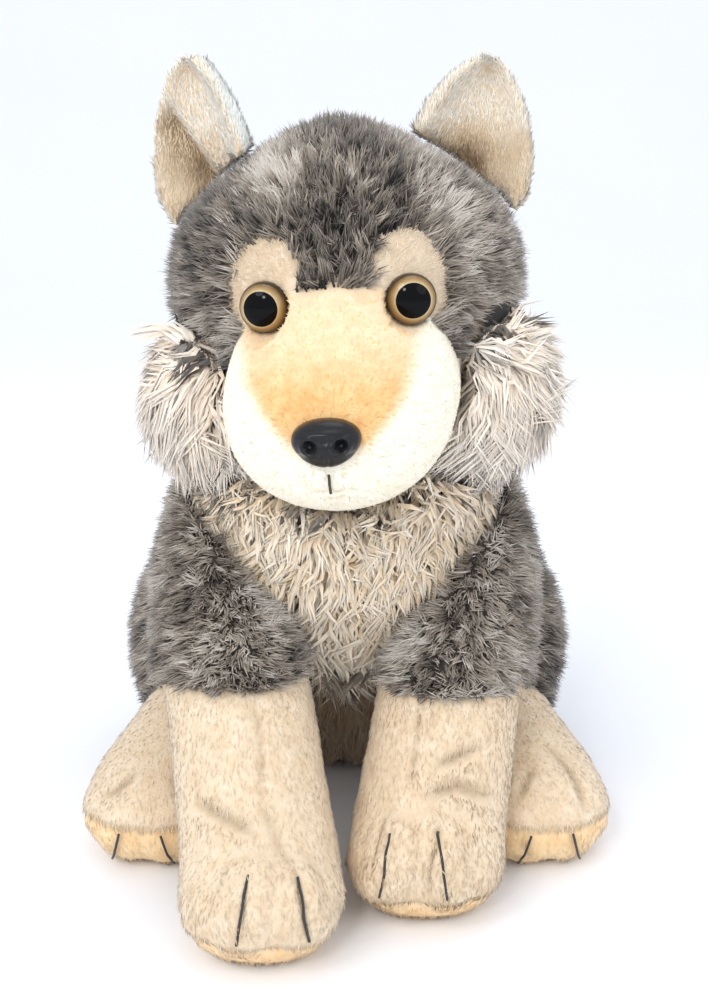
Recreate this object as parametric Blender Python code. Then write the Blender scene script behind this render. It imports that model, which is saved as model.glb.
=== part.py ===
"""A seated plush wolf: sewn panels of pile fabric over stuffing, with moulded eyes and nose.

Metres, +Z up. The wolf sits on z = 0 and faces -Y. Right and left are the wolf's own,
so its right side lies at -X. A panel is as thick as its pile stands off the stuffing.
"""

from math import cos, pi, radians, sin, sqrt

import bmesh
import bpy
from mathutils import Matrix, Vector
from mathutils.bvhtree import BVHTree

# Clearance between pieces that touch
GAP = 0.0003

# How far each fabric's pile stands off the stuffing
COAT_PILE = 0.006
BIB_PILE = 0.023
BELLY_PILE = 0.008
BROW_PILE = 0.0025
MUZZLE_PILE = 0.002
PAW_PILE = 0.002
EAR_FRONT_PILE = 0.0028
EAR_BACK_PILE = 0.0038

# Head, stuffed size before its pile
HEAD_CENTRE = Vector((0.0, -0.022, 0.218))
HEAD_HALF_SIZES = (0.064, 0.055, 0.0565)
HEAD_CREST_START = 0.30
HEAD_CREST_TAPER = 0.50
HEAD_TURN = radians(-3.0)
HEAD_TILT = radians(3.5)
HEAD_SIDES = 18
HEAD_RINGS = 11

# Head seams, as seen from the front, from the head's centre
GUSSET_LOW = 0.003
GUSSET_LOW_HALF_WIDTH = 0.0125
GUSSET_TOP_HALF_WIDTH = 0.024
BROW_BACK = -0.011
BROW_OUTLINE = (
    (0.0125, -0.006),
    (0.0125, 0.012),
    (0.0165, 0.0185),
    (0.0245, 0.0205),
    (0.0320, 0.0165),
    (0.0370, 0.0060),
    (0.0365, -0.0050),
    (0.0310, -0.0135),
    (0.0200, -0.0165),
)

# Cheek ruffs: lobes of long pile, from the head's centre, for the wolf's left
RUFF_CENTRE = Vector((0.042, -0.014, -0.036))
RUFF_HALF_SIZES = (0.0345, 0.031, 0.035)

# Muzzle rings: forward of the head's centre, height, half width, half height
MUZZLE_RINGS = (
    (0.025, -0.030, 0.0370, 0.0340),
    (0.039, -0.031, 0.0400, 0.0365),
    (0.053, -0.033, 0.0400, 0.0375),
    (0.067, -0.037, 0.0380, 0.0335),
    (0.079, -0.040, 0.0335, 0.0275),
    (0.088, -0.0415, 0.0255, 0.0200),
    (0.094, -0.0415, 0.0150, 0.0115),
)
MUZZLE_TOP_TAPER = 0.25
MUZZLE_BACK = 0.010
MUZZLE_TIP = 0.0965
MUZZLE_LEAN = -0.003
MUZZLE_SIDES = 16
MOUTH_HEIGHT = -0.0580

# Safety eyes: a domed button on a shank, held by a washer inside, with the pupil as its cap
EYE_OUT = 0.025
EYE_HEIGHT = -0.0027
EYE_RADIUS = 0.0088
EYE_BULGE = 0.0062
EYE_FORWARD_LEAN = 0.8
PUPIL_SHARE = 0.68
BUTTON_SIDES = 16
BUTTON_RINGS = 8
SHANK_SIDES = 8
SHANK_RADIUS = 0.0022
SHANK_LENGTH = 0.013
WASHER_RADIUS = 0.0080
WASHER_THICKNESS = 0.0015
WASHER_DEPTH = 0.0065

# Moulded nose
NOSE_HALF_WIDTH = 0.0110
NOSE_HALF_HEIGHT = 0.0078
NOSE_BULGE = 0.0075
NOSE_TAPER = 0.16
NOSE_HEIGHT = -0.0415
NOSTRIL_RADIUS = 0.0021
NOSTRIL_OUT = 0.0050
NOSE_BACK_SHARE = 0.12

# Ears: where the middle of the base lies from the head's centre, and which way each leans
EAR_HALF_WIDTH = 0.0245
EAR_HEIGHT = 0.0455
EAR_ROOT = 0.014
EAR_ROOT_TAPER = 0.30
EAR_CUP = 0.010
RIGHT_EAR_BASE = Vector((-0.0480, 0.010, 0.036))
RIGHT_EAR_UP = Vector((-0.15, 0.15, 1.0))
RIGHT_EAR_TURN = radians(-38)
LEFT_EAR_BASE = Vector((0.0430, 0.010, 0.036))
LEFT_EAR_UP = Vector((0.20, 0.15, 1.0))
LEFT_EAR_TURN = radians(12)

# Torso rings: height, centre's distance back, half width, half depth
TORSO_RINGS = (
    (-0.006, 0.059, 0.034, 0.026),
    (0.002, 0.056, 0.050, 0.038),
    (0.015, 0.050, 0.060, 0.049),
    (0.045, 0.040, 0.065, 0.057),
    (0.080, 0.026, 0.061, 0.054),
    (0.115, 0.003, 0.053, 0.051),
    (0.145, -0.010, 0.043, 0.043),
    (0.165, -0.012, 0.031, 0.031),
)
TORSO_BOTTOM = -0.010
TORSO_TOP = 0.174
TORSO_SIDES = 18
BIB_OUTLINE = (
    (-0.060, 0.200),
    (-0.060, 0.135),
    (-0.053, 0.110),
    (-0.034, 0.088),
    (0.000, 0.064),
    (0.034, 0.088),
    (0.053, 0.110),
    (0.060, 0.135),
    (0.060, 0.200),
)
BIB_BACK = -0.012
BELLY_HALF_WIDTH = 0.040
BELLY_TOP = 0.105
BELLY_BACK = 0.030

# Front legs: distance out, share of the way from shoulder to toes, height, half width, half depth
FRONT_LEG_STATIONS = (
    (0.0450, 0.00, 0.1360, 0.0195, 0.0220),
    (0.0480, 0.12, 0.1120, 0.0235, 0.0245),
    (0.0455, 0.27, 0.0900, 0.0250, 0.0240),
    (0.0385, 0.43, 0.0660, 0.0255, 0.0230),
    (0.0345, 0.56, 0.0440, 0.0260, 0.0220),
    (0.0305, 0.69, 0.0250, 0.0270, 0.0215),
    (0.0285, 0.83, 0.0175, 0.0275, 0.0195),
    (0.0285, 0.92, 0.0150, 0.0250, 0.0170),
)
SHOULDER_BACK = -0.025
RIGHT_TOES_BACK = -0.1445
LEFT_TOES_BACK = -0.1175
RIGHT_SLEEVE_END = 0.081
LEFT_SLEEVE_END = 0.075
FRONT_SOLE_EDGE = 0.0125

# Hind legs: a thigh, and a foot that runs from it to the toes
THIGH_CENTRE = Vector((0.060, 0.030, 0.055))
THIGH_HALF_SIZES = (0.034, 0.045, 0.048)
FOOT_STATIONS = (
    (0.064, 0.006, 0.030, 0.0190, 0.0240),
    (0.068, -0.019, 0.0265, 0.0215, 0.0215),
    (0.073, -0.044, 0.0200, 0.0270, 0.0195),
    (0.077, -0.065, 0.0155, 0.0260, 0.0170),
)
FOOT_TIP = 0.014
HIND_SOLE_EDGE = 0.0195

# Tail, lying behind and curling towards the wolf's left: x, y, z, half height, half width
TAIL_STATIONS = (
    (0.000, 0.099, 0.030, 0.010, 0.010),
    (0.009, 0.113, 0.024, 0.013, 0.013),
    (0.030, 0.122, 0.0195, 0.0160, 0.0155),
    (0.056, 0.121, 0.0195, 0.0160, 0.0155),
    (0.077, 0.109, 0.0185, 0.0120, 0.0125),
)
TAIL_TIP = 0.012
LIMB_SIDES = 12
TAIL_SIDES = 10
LOBE_SIDES = 15
LOBE_RINGS = 9

# Sewn thread of the mouth and the toes
THREAD_RADIUS = 0.0005
THREAD_LIFT = 0.0008
THREAD_POINTS = 8
TOE_THREAD_OUT = 0.0105
FRONT_TOE_THREAD_IN = 0.0048
TOE_THREAD_PIVOT = 0.024
FRONT_TOE_THREAD_ANGLES = (radians(52), radians(6))
HIND_TOE_THREAD_ANGLES = (radians(12), radians(-20))
MOUTH_THREAD_TOP = -0.0515

# How far off a toe's thread is cast from, and how far helper blocks reach past the wolf
CAST = 0.05
REACH = 0.4

COLOURS = {
    "coat": ((0.105, 0.095, 0.085), 0.9),
    "beige_pile": ((0.58, 0.45, 0.34), 0.9),
    "long_pile": ((0.55, 0.42, 0.31), 0.9),
    "cream_pile": ((0.85, 0.74, 0.55), 0.9),
    "sole_pile": ((0.72, 0.47, 0.24), 0.9),
    "ear_back": ((0.45, 0.44, 0.42), 0.9),
    "filling": ((0.85, 0.85, 0.83), 1.0),
    "eye_plastic": ((0.23, 0.10, 0.035), 0.2),
    "pupil_plastic": ((0.008, 0.008, 0.010), 0.1),
    "nose_plastic": ((0.012, 0.012, 0.014), 0.35),
    "washer_plastic": ((0.6, 0.6, 0.58), 0.5),
    "thread": ((0.01, 0.01, 0.01), 0.8),
}

SIDES = (("right", -1), ("left", 1))

HEAD_FRAME = (
    Matrix.Translation(HEAD_CENTRE)
    @ Matrix.Rotation(HEAD_TURN, 4, "Z")
    @ Matrix.Rotation(-HEAD_TILT, 4, "Y")
)


def material(name):
    """The Principled material of that name, made once."""
    made = bpy.data.materials.get(name)
    if made is None:
        colour, roughness = COLOURS[name]
        made = bpy.data.materials.new(name)
        made.use_nodes = True
        shader = made.node_tree.nodes["Principled BSDF"]
        shader.inputs["Base Color"].default_value = (*colour, 1.0)
        shader.inputs["Roughness"].default_value = roughness
        shader.inputs["Metallic"].default_value = 0.0
    return made


# Mesh helpers


def from_bmesh(shape):
    """An object from a bmesh, in triangles that face outwards."""
    bmesh.ops.triangulate(shape, faces=shape.faces)
    bmesh.ops.recalc_face_normals(shape, faces=shape.faces)
    mesh = bpy.data.meshes.new("form")
    shape.to_mesh(mesh)
    shape.free()
    made = bpy.data.objects.new("form", mesh)
    bpy.context.scene.collection.objects.link(made)
    return made


def copy_of(thing):
    """A second object with its own mesh."""
    made = thing.copy()
    made.data = thing.data.copy()
    bpy.context.scene.collection.objects.link(made)
    return made


def remove(*things):
    for thing in things:
        bpy.data.objects.remove(thing)


def grown(thing, distance):
    """A copy whose faces lie that far out. A corner moves by more than a flat place does."""
    made = copy_of(thing)
    shape = bmesh.new()
    shape.from_mesh(made.data)
    shape.normal_update()
    moves = [point.normal * distance * point.calc_shell_factor() for point in shape.verts]
    for point, move in zip(shape.verts, moves):
        point.co += move
    shape.to_mesh(made.data)
    shape.free()
    return made


def combine(thing, other, operation):
    """Cuts, keeps or joins a thing by another with an exact Boolean, and leaves triangles."""
    modifier = thing.modifiers.new("combine", "BOOLEAN")
    modifier.operation = operation
    modifier.solver = "EXACT"
    modifier.object = other
    graph = bpy.context.evaluated_depsgraph_get()
    thing.data = bpy.data.meshes.new_from_object(thing.evaluated_get(graph))
    thing.modifiers.clear()
    shape = bmesh.new()
    shape.from_mesh(thing.data)
    bmesh.ops.triangulate(shape, faces=shape.faces)
    shape.to_mesh(thing.data)
    shape.free()
    return thing


def cut(thing, *others):
    for other in others:
        combine(thing, other, "DIFFERENCE")
    return thing


def keep(thing, *others):
    for other in others:
        combine(thing, other, "INTERSECT")
    return thing


def faces_beside(face):
    for edge in face.edges:
        yield from edge.link_faces


def islands(shape):
    """The groups of faces that hang together."""
    left = set(shape.faces)
    while left:
        group, fresh = set(), [left.pop()]
        while fresh:
            face = fresh.pop()
            group.add(face)
            found = left.intersection(faces_beside(face))
            left -= found
            fresh.extend(found)
        yield group


def drop_scraps(thing):
    """Keeps the largest closed body, and drops the scraps that a cut leaves beside it."""
    shape = bmesh.new()
    shape.from_mesh(thing.data)
    groups = sorted(islands(shape), key=lambda group: sum(face.calc_area() for face in group))
    scraps = [face for group in groups[:-1] for face in group]
    bmesh.ops.delete(shape, geom=scraps, context="FACES")
    shape.to_mesh(thing.data)
    shape.free()


def finish(thing, name, slot):
    """Names a finished node and gives it its material and smooth shading."""
    drop_scraps(thing)
    thing.name = thing.data.name = name
    thing.data.materials.clear()
    thing.data.materials.append(material(slot))
    thing.data.shade_smooth()
    thing.data.set_sharp_from_angle(angle=radians(50))
    return thing


def block(low, high):
    """A box between two corners."""
    shape = bmesh.new()
    bmesh.ops.create_cube(shape, size=1.0)
    low, high = Vector(low), Vector(high)
    place = Matrix.Translation((low + high) / 2) @ Matrix.Diagonal((*(high - low), 1.0))
    bmesh.ops.transform(shape, matrix=place, verts=shape.verts)
    return from_bmesh(shape)


def above(height):
    """Everything over a height."""
    return block((-REACH, -REACH, height), (REACH, REACH, REACH))


def between(low, high):
    """Everything between two heights."""
    return block((-REACH, -REACH, low), (REACH, REACH, high))


def beside(side, clearance):
    """Everything on one side of the middle plane, clear of it."""
    low, high = sorted((side * clearance, side * REACH))
    return block((low, -REACH, -REACH), (high, REACH, REACH))


def prism(outline, front, back):
    """An outline seen from the front, given as (x, z), run from y = front to y = back."""
    shape = bmesh.new()
    face = shape.faces.new([shape.verts.new((x, front, z)) for x, z in outline])
    moved = bmesh.ops.extrude_face_region(shape, geom=[face])["geom"]
    for point in moved:
        if isinstance(point, bmesh.types.BMVert):
            point.co.y = back
    return from_bmesh(shape)


def mirrored(outline, side):
    """An outline of the wolf's left, or its mirror image for side -1."""
    return [(x * side, z) for x, z in outline]


def ellipsoid(centre, half_sizes, sides, rings):
    shape = bmesh.new()
    bmesh.ops.create_uvsphere(shape, u_segments=sides, v_segments=rings, radius=1.0)
    place = Matrix.Translation(centre) @ Matrix.Diagonal((*half_sizes, 1.0))
    bmesh.ops.transform(shape, matrix=place, verts=shape.verts)
    return from_bmesh(shape)


def disc(radius, low, high, sides):
    """A short cylinder about Z."""
    shape = bmesh.new()
    bmesh.ops.create_cone(
        shape, cap_ends=True, segments=sides, radius1=radius, radius2=radius, depth=high - low
    )
    bmesh.ops.translate(shape, vec=(0, 0, (low + high) / 2), verts=shape.verts)
    return from_bmesh(shape)


def dome(half_width, half_height, bulge, low, high, sides, taper=0.0):
    """The part of a unit ball between two heights, stretched. The taper widens it upwards in y."""
    shape = bmesh.new()
    bmesh.ops.create_uvsphere(shape, u_segments=sides, v_segments=BUTTON_RINGS, radius=1.0)
    for height, way in ((low, -1), (high, 1)):
        bmesh.ops.bisect_plane(
            shape,
            geom=[*shape.verts, *shape.edges, *shape.faces],
            plane_co=(0, 0, height),
            plane_no=(0, 0, way),
            clear_outer=True,
        )
        rim = [edge for edge in shape.edges if edge.is_boundary]
        bmesh.ops.holes_fill(shape, edges=rim)
    for point in shape.verts:
        x, y, z = point.co
        point.co = (x * (1 + taper * y) * half_width, y * half_height, z * bulge)
    return from_bmesh(shape)


def loft(rings, sides, first_pole, last_pole):
    """A closed skin over rings. Each ring is (centre, half axis across, half axis up)."""
    shape = bmesh.new()
    angles = [2 * pi * i / sides for i in range(sides)]
    loops = [
        [shape.verts.new(centre + across * cos(a) + up * sin(a)) for a in angles]
        for centre, across, up in rings
    ]
    for low, high in zip(loops, loops[1:]):
        for i in range(sides):
            j = (i + 1) % sides
            shape.faces.new((low[i], low[j], high[j], high[i]))
    for loop, pole in ((loops[0], first_pole), (loops[-1], last_pole)):
        end = shape.verts.new(pole)
        for i in range(sides):
            shape.faces.new((loop[i], loop[(i + 1) % sides], end))
    return from_bmesh(shape)


def smooth_values(stations, steps):
    """Catmull-Rom values through the stations, with that many steps between two."""
    ends = [stations[0], *stations, stations[-1]]
    found = []
    for four in zip(ends, ends[1:], ends[2:], ends[3:]):
        for step in range(steps):
            t = step / steps
            weights = (
                -0.5 * t + t * t - 0.5 * t**3,
                1 - 2.5 * t * t + 1.5 * t**3,
                0.5 * t + 2 * t * t - 1.5 * t**3,
                -0.5 * t * t + 0.5 * t**3,
            )
            found.append([sum(w * v for w, v in zip(weights, values)) for values in zip(*four)])
    found.append(list(stations[-1]))
    return found


def domed_end(ring, wide, deep, along, length):
    """Two shrinking rings and a pole that round off a limb's end."""
    centre, across, up = ring
    rings = []
    for share in (0.45, 0.85):
        size = sqrt(1 - share * share)
        rings.append((centre + along * (length * share), across * (wide * size), up * (deep * size)))
    return rings, centre + along * length


def limb(stations, steps, sides, guide, start_cap, end_cap):
    """A round stuffed limb along (x, y, z, half width, half depth), with domed ends. The guide
    is the direction that half widths lie in, or as near to it as the path allows."""
    values = smooth_values(stations, steps)
    centres = [Vector(value[:3]) for value in values]
    frames = []
    for i, centre in enumerate(centres):
        along = centres[min(i + 1, len(values) - 1)] - centres[max(i - 1, 0)]
        along.normalize()
        across = (guide - along * along.dot(guide)).normalized()
        frames.append((centre, across, along.cross(across), along))
    ends = []
    for i, length in ((0, -start_cap), (-1, end_cap)):
        centre, across, up, along = frames[i]
        ends.append(domed_end((centre, across, up), *values[i][3:], along, length))
    (first, first_pole), (last, last_pole) = ends
    middle = [
        (centre, across * value[3], up * value[4])
        for (centre, across, up, _), value in zip(frames, values)
    ]
    return loft(first[::-1] + middle + last, sides, first_pole, last_pole)


def panel(name, slot, raw, pile, inside, outside=(), floor=None):
    """A sewn panel: the layer between a stuffed form and that form grown by the pile. It's kept
    inside its seams and cut clear of its neighbours. A floor leaves the layer under the form too."""
    made = keep(grown(raw, pile), *inside)
    core = grown(raw, GAP)
    if floor is not None:
        over = above(floor - GAP)
        keep(core, over)
        remove(over)
    cut(made, *outside, core)
    remove(core)
    return finish(made, name, slot)


def thread(name, points):
    """A sewn thread as a thin closed tube through the points."""
    line = bpy.data.curves.new(name, "CURVE")
    line.dimensions = "3D"
    line.bevel_depth = THREAD_RADIUS
    line.bevel_resolution = 1
    line.use_fill_caps = True
    spline = line.splines.new("POLY")
    spline.points.add(len(points) - 1)
    for place, point in zip(spline.points, points):
        place.co = (*point, 1.0)
    line.materials.append(material("thread"))
    made = bpy.data.objects.new(name, line)
    bpy.context.scene.collection.objects.link(made)


def laid_on(covers, rays):
    """Points just clear of the first surface that each (start, direction) meets."""
    trees = []
    for cover in covers:
        shape = bmesh.new()
        shape.from_mesh(cover.data)
        trees.append(BVHTree.FromBMesh(shape))
        shape.free()
    found = []
    for start, direction in rays:
        hits = [tree.ray_cast(start, direction) for tree in trees]
        hits = [hit for hit in hits if hit[0] is not None]
        if hits:
            place, normal, *_ = min(hits, key=lambda hit: hit[3])
            found.append(place + normal * (THREAD_RADIUS + THREAD_LIFT))
    return found


# Stuffed forms


def in_head(thing):
    """Moves what was made about the head's centre to its place on the wolf."""
    thing.data.transform(HEAD_FRAME)
    return thing


def head_form():
    """An egg that narrows to a crest: above the start share of its height, by the taper times the
    squared rise."""
    made = ellipsoid(Vector(), HEAD_HALF_SIZES, HEAD_SIDES, HEAD_RINGS)
    for point in made.data.vertices:
        rise = max(point.co.z / HEAD_HALF_SIZES[2] - HEAD_CREST_START, 0.0) / (1 - HEAD_CREST_START)
        point.co.x *= 1 - HEAD_CREST_TAPER * min(rise, 1.0) ** 2
    return in_head(made)


def ruff_form(side):
    centre = Vector((side * RUFF_CENTRE.x, RUFF_CENTRE.y, RUFF_CENTRE.z))
    return in_head(ellipsoid(centre, RUFF_HALF_SIZES, LOBE_SIDES, LOBE_RINGS))


def muzzle_lean(forward):
    """How far the muzzle's middle has leant aside at a distance forward."""
    start = MUZZLE_RINGS[1][0]
    return MUZZLE_LEAN * max(forward - start, 0.0) / (MUZZLE_TIP - start)


def muzzle_form():
    """Oval rings whose width lessens towards the top, by the taper times the squared rise."""
    rings = [
        (Vector((muzzle_lean(forward), -forward, height)), Vector((wide, 0, 0)), Vector((0, 0, high)))
        for forward, height, wide, high in MUZZLE_RINGS
    ]
    back = Vector((0, -MUZZLE_BACK, MUZZLE_RINGS[0][1]))
    tip = Vector((MUZZLE_LEAN, -MUZZLE_TIP, MUZZLE_RINGS[-1][1]))
    made = loft(rings, MUZZLE_SIDES, back, tip)
    middle, high = MUZZLE_RINGS[2][1], MUZZLE_RINGS[2][3]
    for point in made.data.vertices:
        rise = max(point.co.z - middle, 0.0) / high
        point.co.x *= 1 - MUZZLE_TOP_TAPER * min(rise, 1.0) ** 2
    return in_head(made)


def torso_form():
    rings = [
        (Vector((0, back, height)), Vector((wide, 0, 0)), Vector((0, deep, 0)))
        for height, back, wide, deep in TORSO_RINGS
    ]
    bottom = Vector((0, TORSO_RINGS[0][1], TORSO_BOTTOM))
    top = Vector((0, TORSO_RINGS[-1][1], TORSO_TOP))
    return loft(rings, TORSO_SIDES, bottom, top)


def front_leg_form(side, toes_back):
    """The leg's path runs forward from the shoulder to the toes, by its stations' shares."""
    way = toes_back - SHOULDER_BACK
    stations = [
        (side * out, SHOULDER_BACK + way * share, *rest) for out, share, *rest in FRONT_LEG_STATIONS
    ]
    last_step = abs(toes_back - stations[-1][1])
    return limb(stations, 1, LIMB_SIDES, Vector((1, 0, 0)), stations[0][4], last_step)


def thigh_form(side):
    centre = Vector((side * THIGH_CENTRE.x, THIGH_CENTRE.y, THIGH_CENTRE.z))
    return ellipsoid(centre, THIGH_HALF_SIZES, LOBE_SIDES, LOBE_RINGS)


def foot_form(side):
    stations = [(side * x, *rest) for x, *rest in FOOT_STATIONS]
    return limb(stations, 2, LIMB_SIDES, Vector((1, 0, 0)), FOOT_STATIONS[0][4], FOOT_TIP)


# Moulded buttons, made about Z and then turned to face outwards


def button(front, shank_root, centre, facing):
    """A button's front joined to its shank, its washer, and the room that the two need."""
    turn = Matrix.Translation(centre) @ facing.to_track_quat("Z", "Y").to_matrix().to_4x4()
    shank = disc(SHANK_RADIUS, -SHANK_LENGTH, shank_root, SHANK_SIDES)
    combine(front, shank, "UNION")
    washer = disc(WASHER_RADIUS, -WASHER_DEPTH - WASHER_THICKNESS, -WASHER_DEPTH, BUTTON_SIDES)
    washer_room = grown(washer, GAP)
    hole = disc(SHANK_RADIUS + GAP, -REACH, REACH, SHANK_SIDES)
    cut(washer, hole)
    room = grown(front, GAP)
    remove(shank, hole)
    for thing in (front, washer, washer_room, room):
        thing.data.transform(turn)
    return {"front": front, "washer": washer, "rooms": [room], "washer_room": washer_room, "turn": turn}


def eye(side):
    """A domed eye that faces forward from the brow patch, with a pupil as its cap."""
    x, z = side * EYE_OUT, EYE_HEIGHT
    wide, deep, high = (half_size + BROW_PILE for half_size in HEAD_HALF_SIZES)
    y = -deep * sqrt(1 - (x / wide) ** 2 - (z / high) ** 2)
    normal = Vector((x / wide**2, y / deep**2, z / high**2)).normalized()
    facing = (normal - Vector((0, EYE_FORWARD_LEAN, 0))).normalized()
    split = sqrt(1 - PUPIL_SHARE**2)
    step = GAP / EYE_BULGE
    iris = dome(EYE_RADIUS, EYE_RADIUS, EYE_BULGE, 0.02, split, BUTTON_SIDES)
    pupil = dome(EYE_RADIUS, EYE_RADIUS, EYE_BULGE, split + step, 2.0, BUTTON_SIDES)
    centre = HEAD_FRAME @ Vector((x, y, z))
    made = button(iris, split * EYE_BULGE / 2, centre, HEAD_FRAME.to_3x3() @ facing)
    pupil_room = grown(pupil, GAP)
    for thing in (pupil, pupil_room):
        thing.data.transform(made["turn"])
    return {**made, "pupil": pupil, "rooms": [*made["rooms"], pupil_room]}


def nose():
    """A rounded, slightly three-cornered button with two nostrils."""
    back = -NOSE_BACK_SHARE
    front = dome(NOSE_HALF_WIDTH, NOSE_HALF_HEIGHT, NOSE_BULGE, back, 2.0, BUTTON_SIDES, NOSE_TAPER)
    share = sqrt(1 - (NOSTRIL_OUT / NOSE_HALF_WIDTH) ** 2)
    for _, side in SIDES:
        place = Vector((side * NOSTRIL_OUT, 0, NOSE_BULGE * share))
        hollow = ellipsoid(place, (NOSTRIL_RADIUS,) * 3, 8, 6)
        cut(front, hollow)
        remove(hollow)
    facing = HEAD_FRAME.to_3x3() @ Vector((0, -1, 0))
    centre = HEAD_FRAME @ Vector((MUZZLE_LEAN, -MUZZLE_TIP, NOSE_HEIGHT))
    return button(front, NOSE_BULGE / 3, centre, facing)


def ear_layer(base, up, turn, low, high):
    """A cupped sheet of an ear between two distances from its middle face. At share v of the
    height it's W (1 - v v)^0.7 to either side, and it comes forward by the cup times the square
    of the share across. Below its base it narrows by the root's taper."""
    up = up.normalized()
    across = up.cross(Matrix.Rotation(turn, 3, "Z") @ Vector((0, -1, 0))).normalized()
    facing = across.cross(up)
    columns, rows = 7, 6
    places, normals = [], []
    for row in range(rows + 1):
        height = -EAR_ROOT + (EAR_HEIGHT * 0.99 + EAR_ROOT) * (1 - (1 - row / rows) ** 1.4)
        wide = EAR_HALF_WIDTH * (1 - (max(height, 0.0) / EAR_HEIGHT) ** 2) ** 0.7
        wide *= 1 - EAR_ROOT_TAPER * max(-height, 0.0) / EAR_ROOT
        for column in range(columns):
            u = 2 * column / (columns - 1) - 1
            places.append(base + up * height + across * (u * wide) + facing * (EAR_CUP * u * u))
            slope = 2 * EAR_CUP * u / EAR_HALF_WIDTH
            normals.append((facing - across * slope).normalized())
    shape = bmesh.new()
    sheets = [
        [shape.verts.new(place + normal * distance) for place, normal in zip(places, normals)]
        for distance in (low, high)
    ]
    for row in range(rows):
        for column in range(columns - 1):
            first = row * columns + column
            corners = (first, first + 1, first + 1 + columns, first + columns)
            for sheet in sheets:
                shape.faces.new([sheet[corner] for corner in corners])
    rim = list(range(columns))
    rim += [(row + 1) * columns - 1 for row in range(1, rows + 1)]
    rim += [rows * columns + i for i in range(columns - 2, -1, -1)]
    rim += [row * columns for row in range(rows - 1, 0, -1)]
    for i, j in zip(rim, rim[1:] + rim[:1]):
        shape.faces.new((sheets[0][i], sheets[0][j], sheets[1][j], sheets[1][i]))
    return from_bmesh(shape)


# Building


def seams():
    """The regions that a form's panels are parted by, each with a copy grown by the gap."""
    gusset_half = (
        (GUSSET_LOW_HALF_WIDTH, GUSSET_LOW),
        (GUSSET_TOP_HALF_WIDTH, HEAD_HALF_SIZES[2]),
        (GUSSET_TOP_HALF_WIDTH, REACH),
    )
    gusset_outline = (*gusset_half, *mirrored(gusset_half, -1)[::-1])
    belly_low = (-BELLY_HALF_WIDTH, -REACH, -REACH)
    made = {
        "bib": prism(BIB_OUTLINE, -REACH, BIB_BACK),
        "belly": block(belly_low, (BELLY_HALF_WIDTH, BELLY_BACK, BELLY_TOP)),
        "gusset": in_head(prism(gusset_outline, -REACH, REACH)),
        "over_mouth": in_head(above(MOUTH_HEIGHT + GAP)),
        "under_mouth": in_head(between(-REACH, MOUTH_HEIGHT)),
        "over_floor": above(0),
    }
    for name, side in SIDES:
        made[f"{name}_half"] = beside(side, GAP / 2)
        made[f"{name}_head_half"] = in_head(beside(side, GAP / 2))
        made[f"{name}_brow"] = in_head(prism(mirrored(BROW_OUTLINE, side), -REACH, BROW_BACK))
    for name in list(made):
        made[f"{name}_room"] = grown(made[name], GAP)
    return made


def rooms(seam, torso, head, snout, ruffs):
    """Each form's outer face, pile and gap included, for its neighbours to be cut by."""
    return {
        "torso": grown(torso, COAT_PILE + GAP),
        "bib": keep(grown(torso, BIB_PILE + GAP), seam["bib_room"]),
        "belly": keep(grown(torso, BELLY_PILE + GAP), seam["belly_room"]),
        "head": grown(head, COAT_PILE + GAP),
        "snout": grown(snout, MUZZLE_PILE + GAP),
        "right_ruff": grown(ruffs["right"], GAP),
        "left_ruff": grown(ruffs["left"], GAP),
    }


def build_torso(seam, room, raw):
    over = above(COAT_PILE)
    finish(keep(copy_of(raw), over), "torso_filling", "filling")
    remove(over)
    head = [room[key] for key in ("head", "snout", "right_ruff", "left_ruff")]
    panel("chest_bib", "long_pile", raw, BIB_PILE, [seam["bib"]], head)
    floor = seam["over_floor"]
    inside = [floor, seam["belly"]]
    panel("belly_panel", "long_pile", raw, BELLY_PILE, inside, [seam["bib_room"]], COAT_PILE)
    taken = [seam["bib_room"], seam["belly_room"]]
    for name, _ in SIDES:
        inside = [floor, seam[f"{name}_half"]]
        panel(f"back_panel_{name}", "coat", raw, COAT_PILE, inside, taken, COAT_PILE)


def build_buttons():
    eyes = {name: eye(side) for name, side in SIDES}
    snout_button = nose()
    for name, made in eyes.items():
        finish(made["front"], f"eye_{name}", "eye_plastic")
        finish(made["pupil"], f"pupil_{name}", "pupil_plastic")
        finish(made["washer"], f"eye_washer_{name}", "washer_plastic")
    finish(snout_button["front"], "nose", "nose_plastic")
    finish(snout_button["washer"], "nose_washer", "washer_plastic")
    return eyes, snout_button


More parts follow.
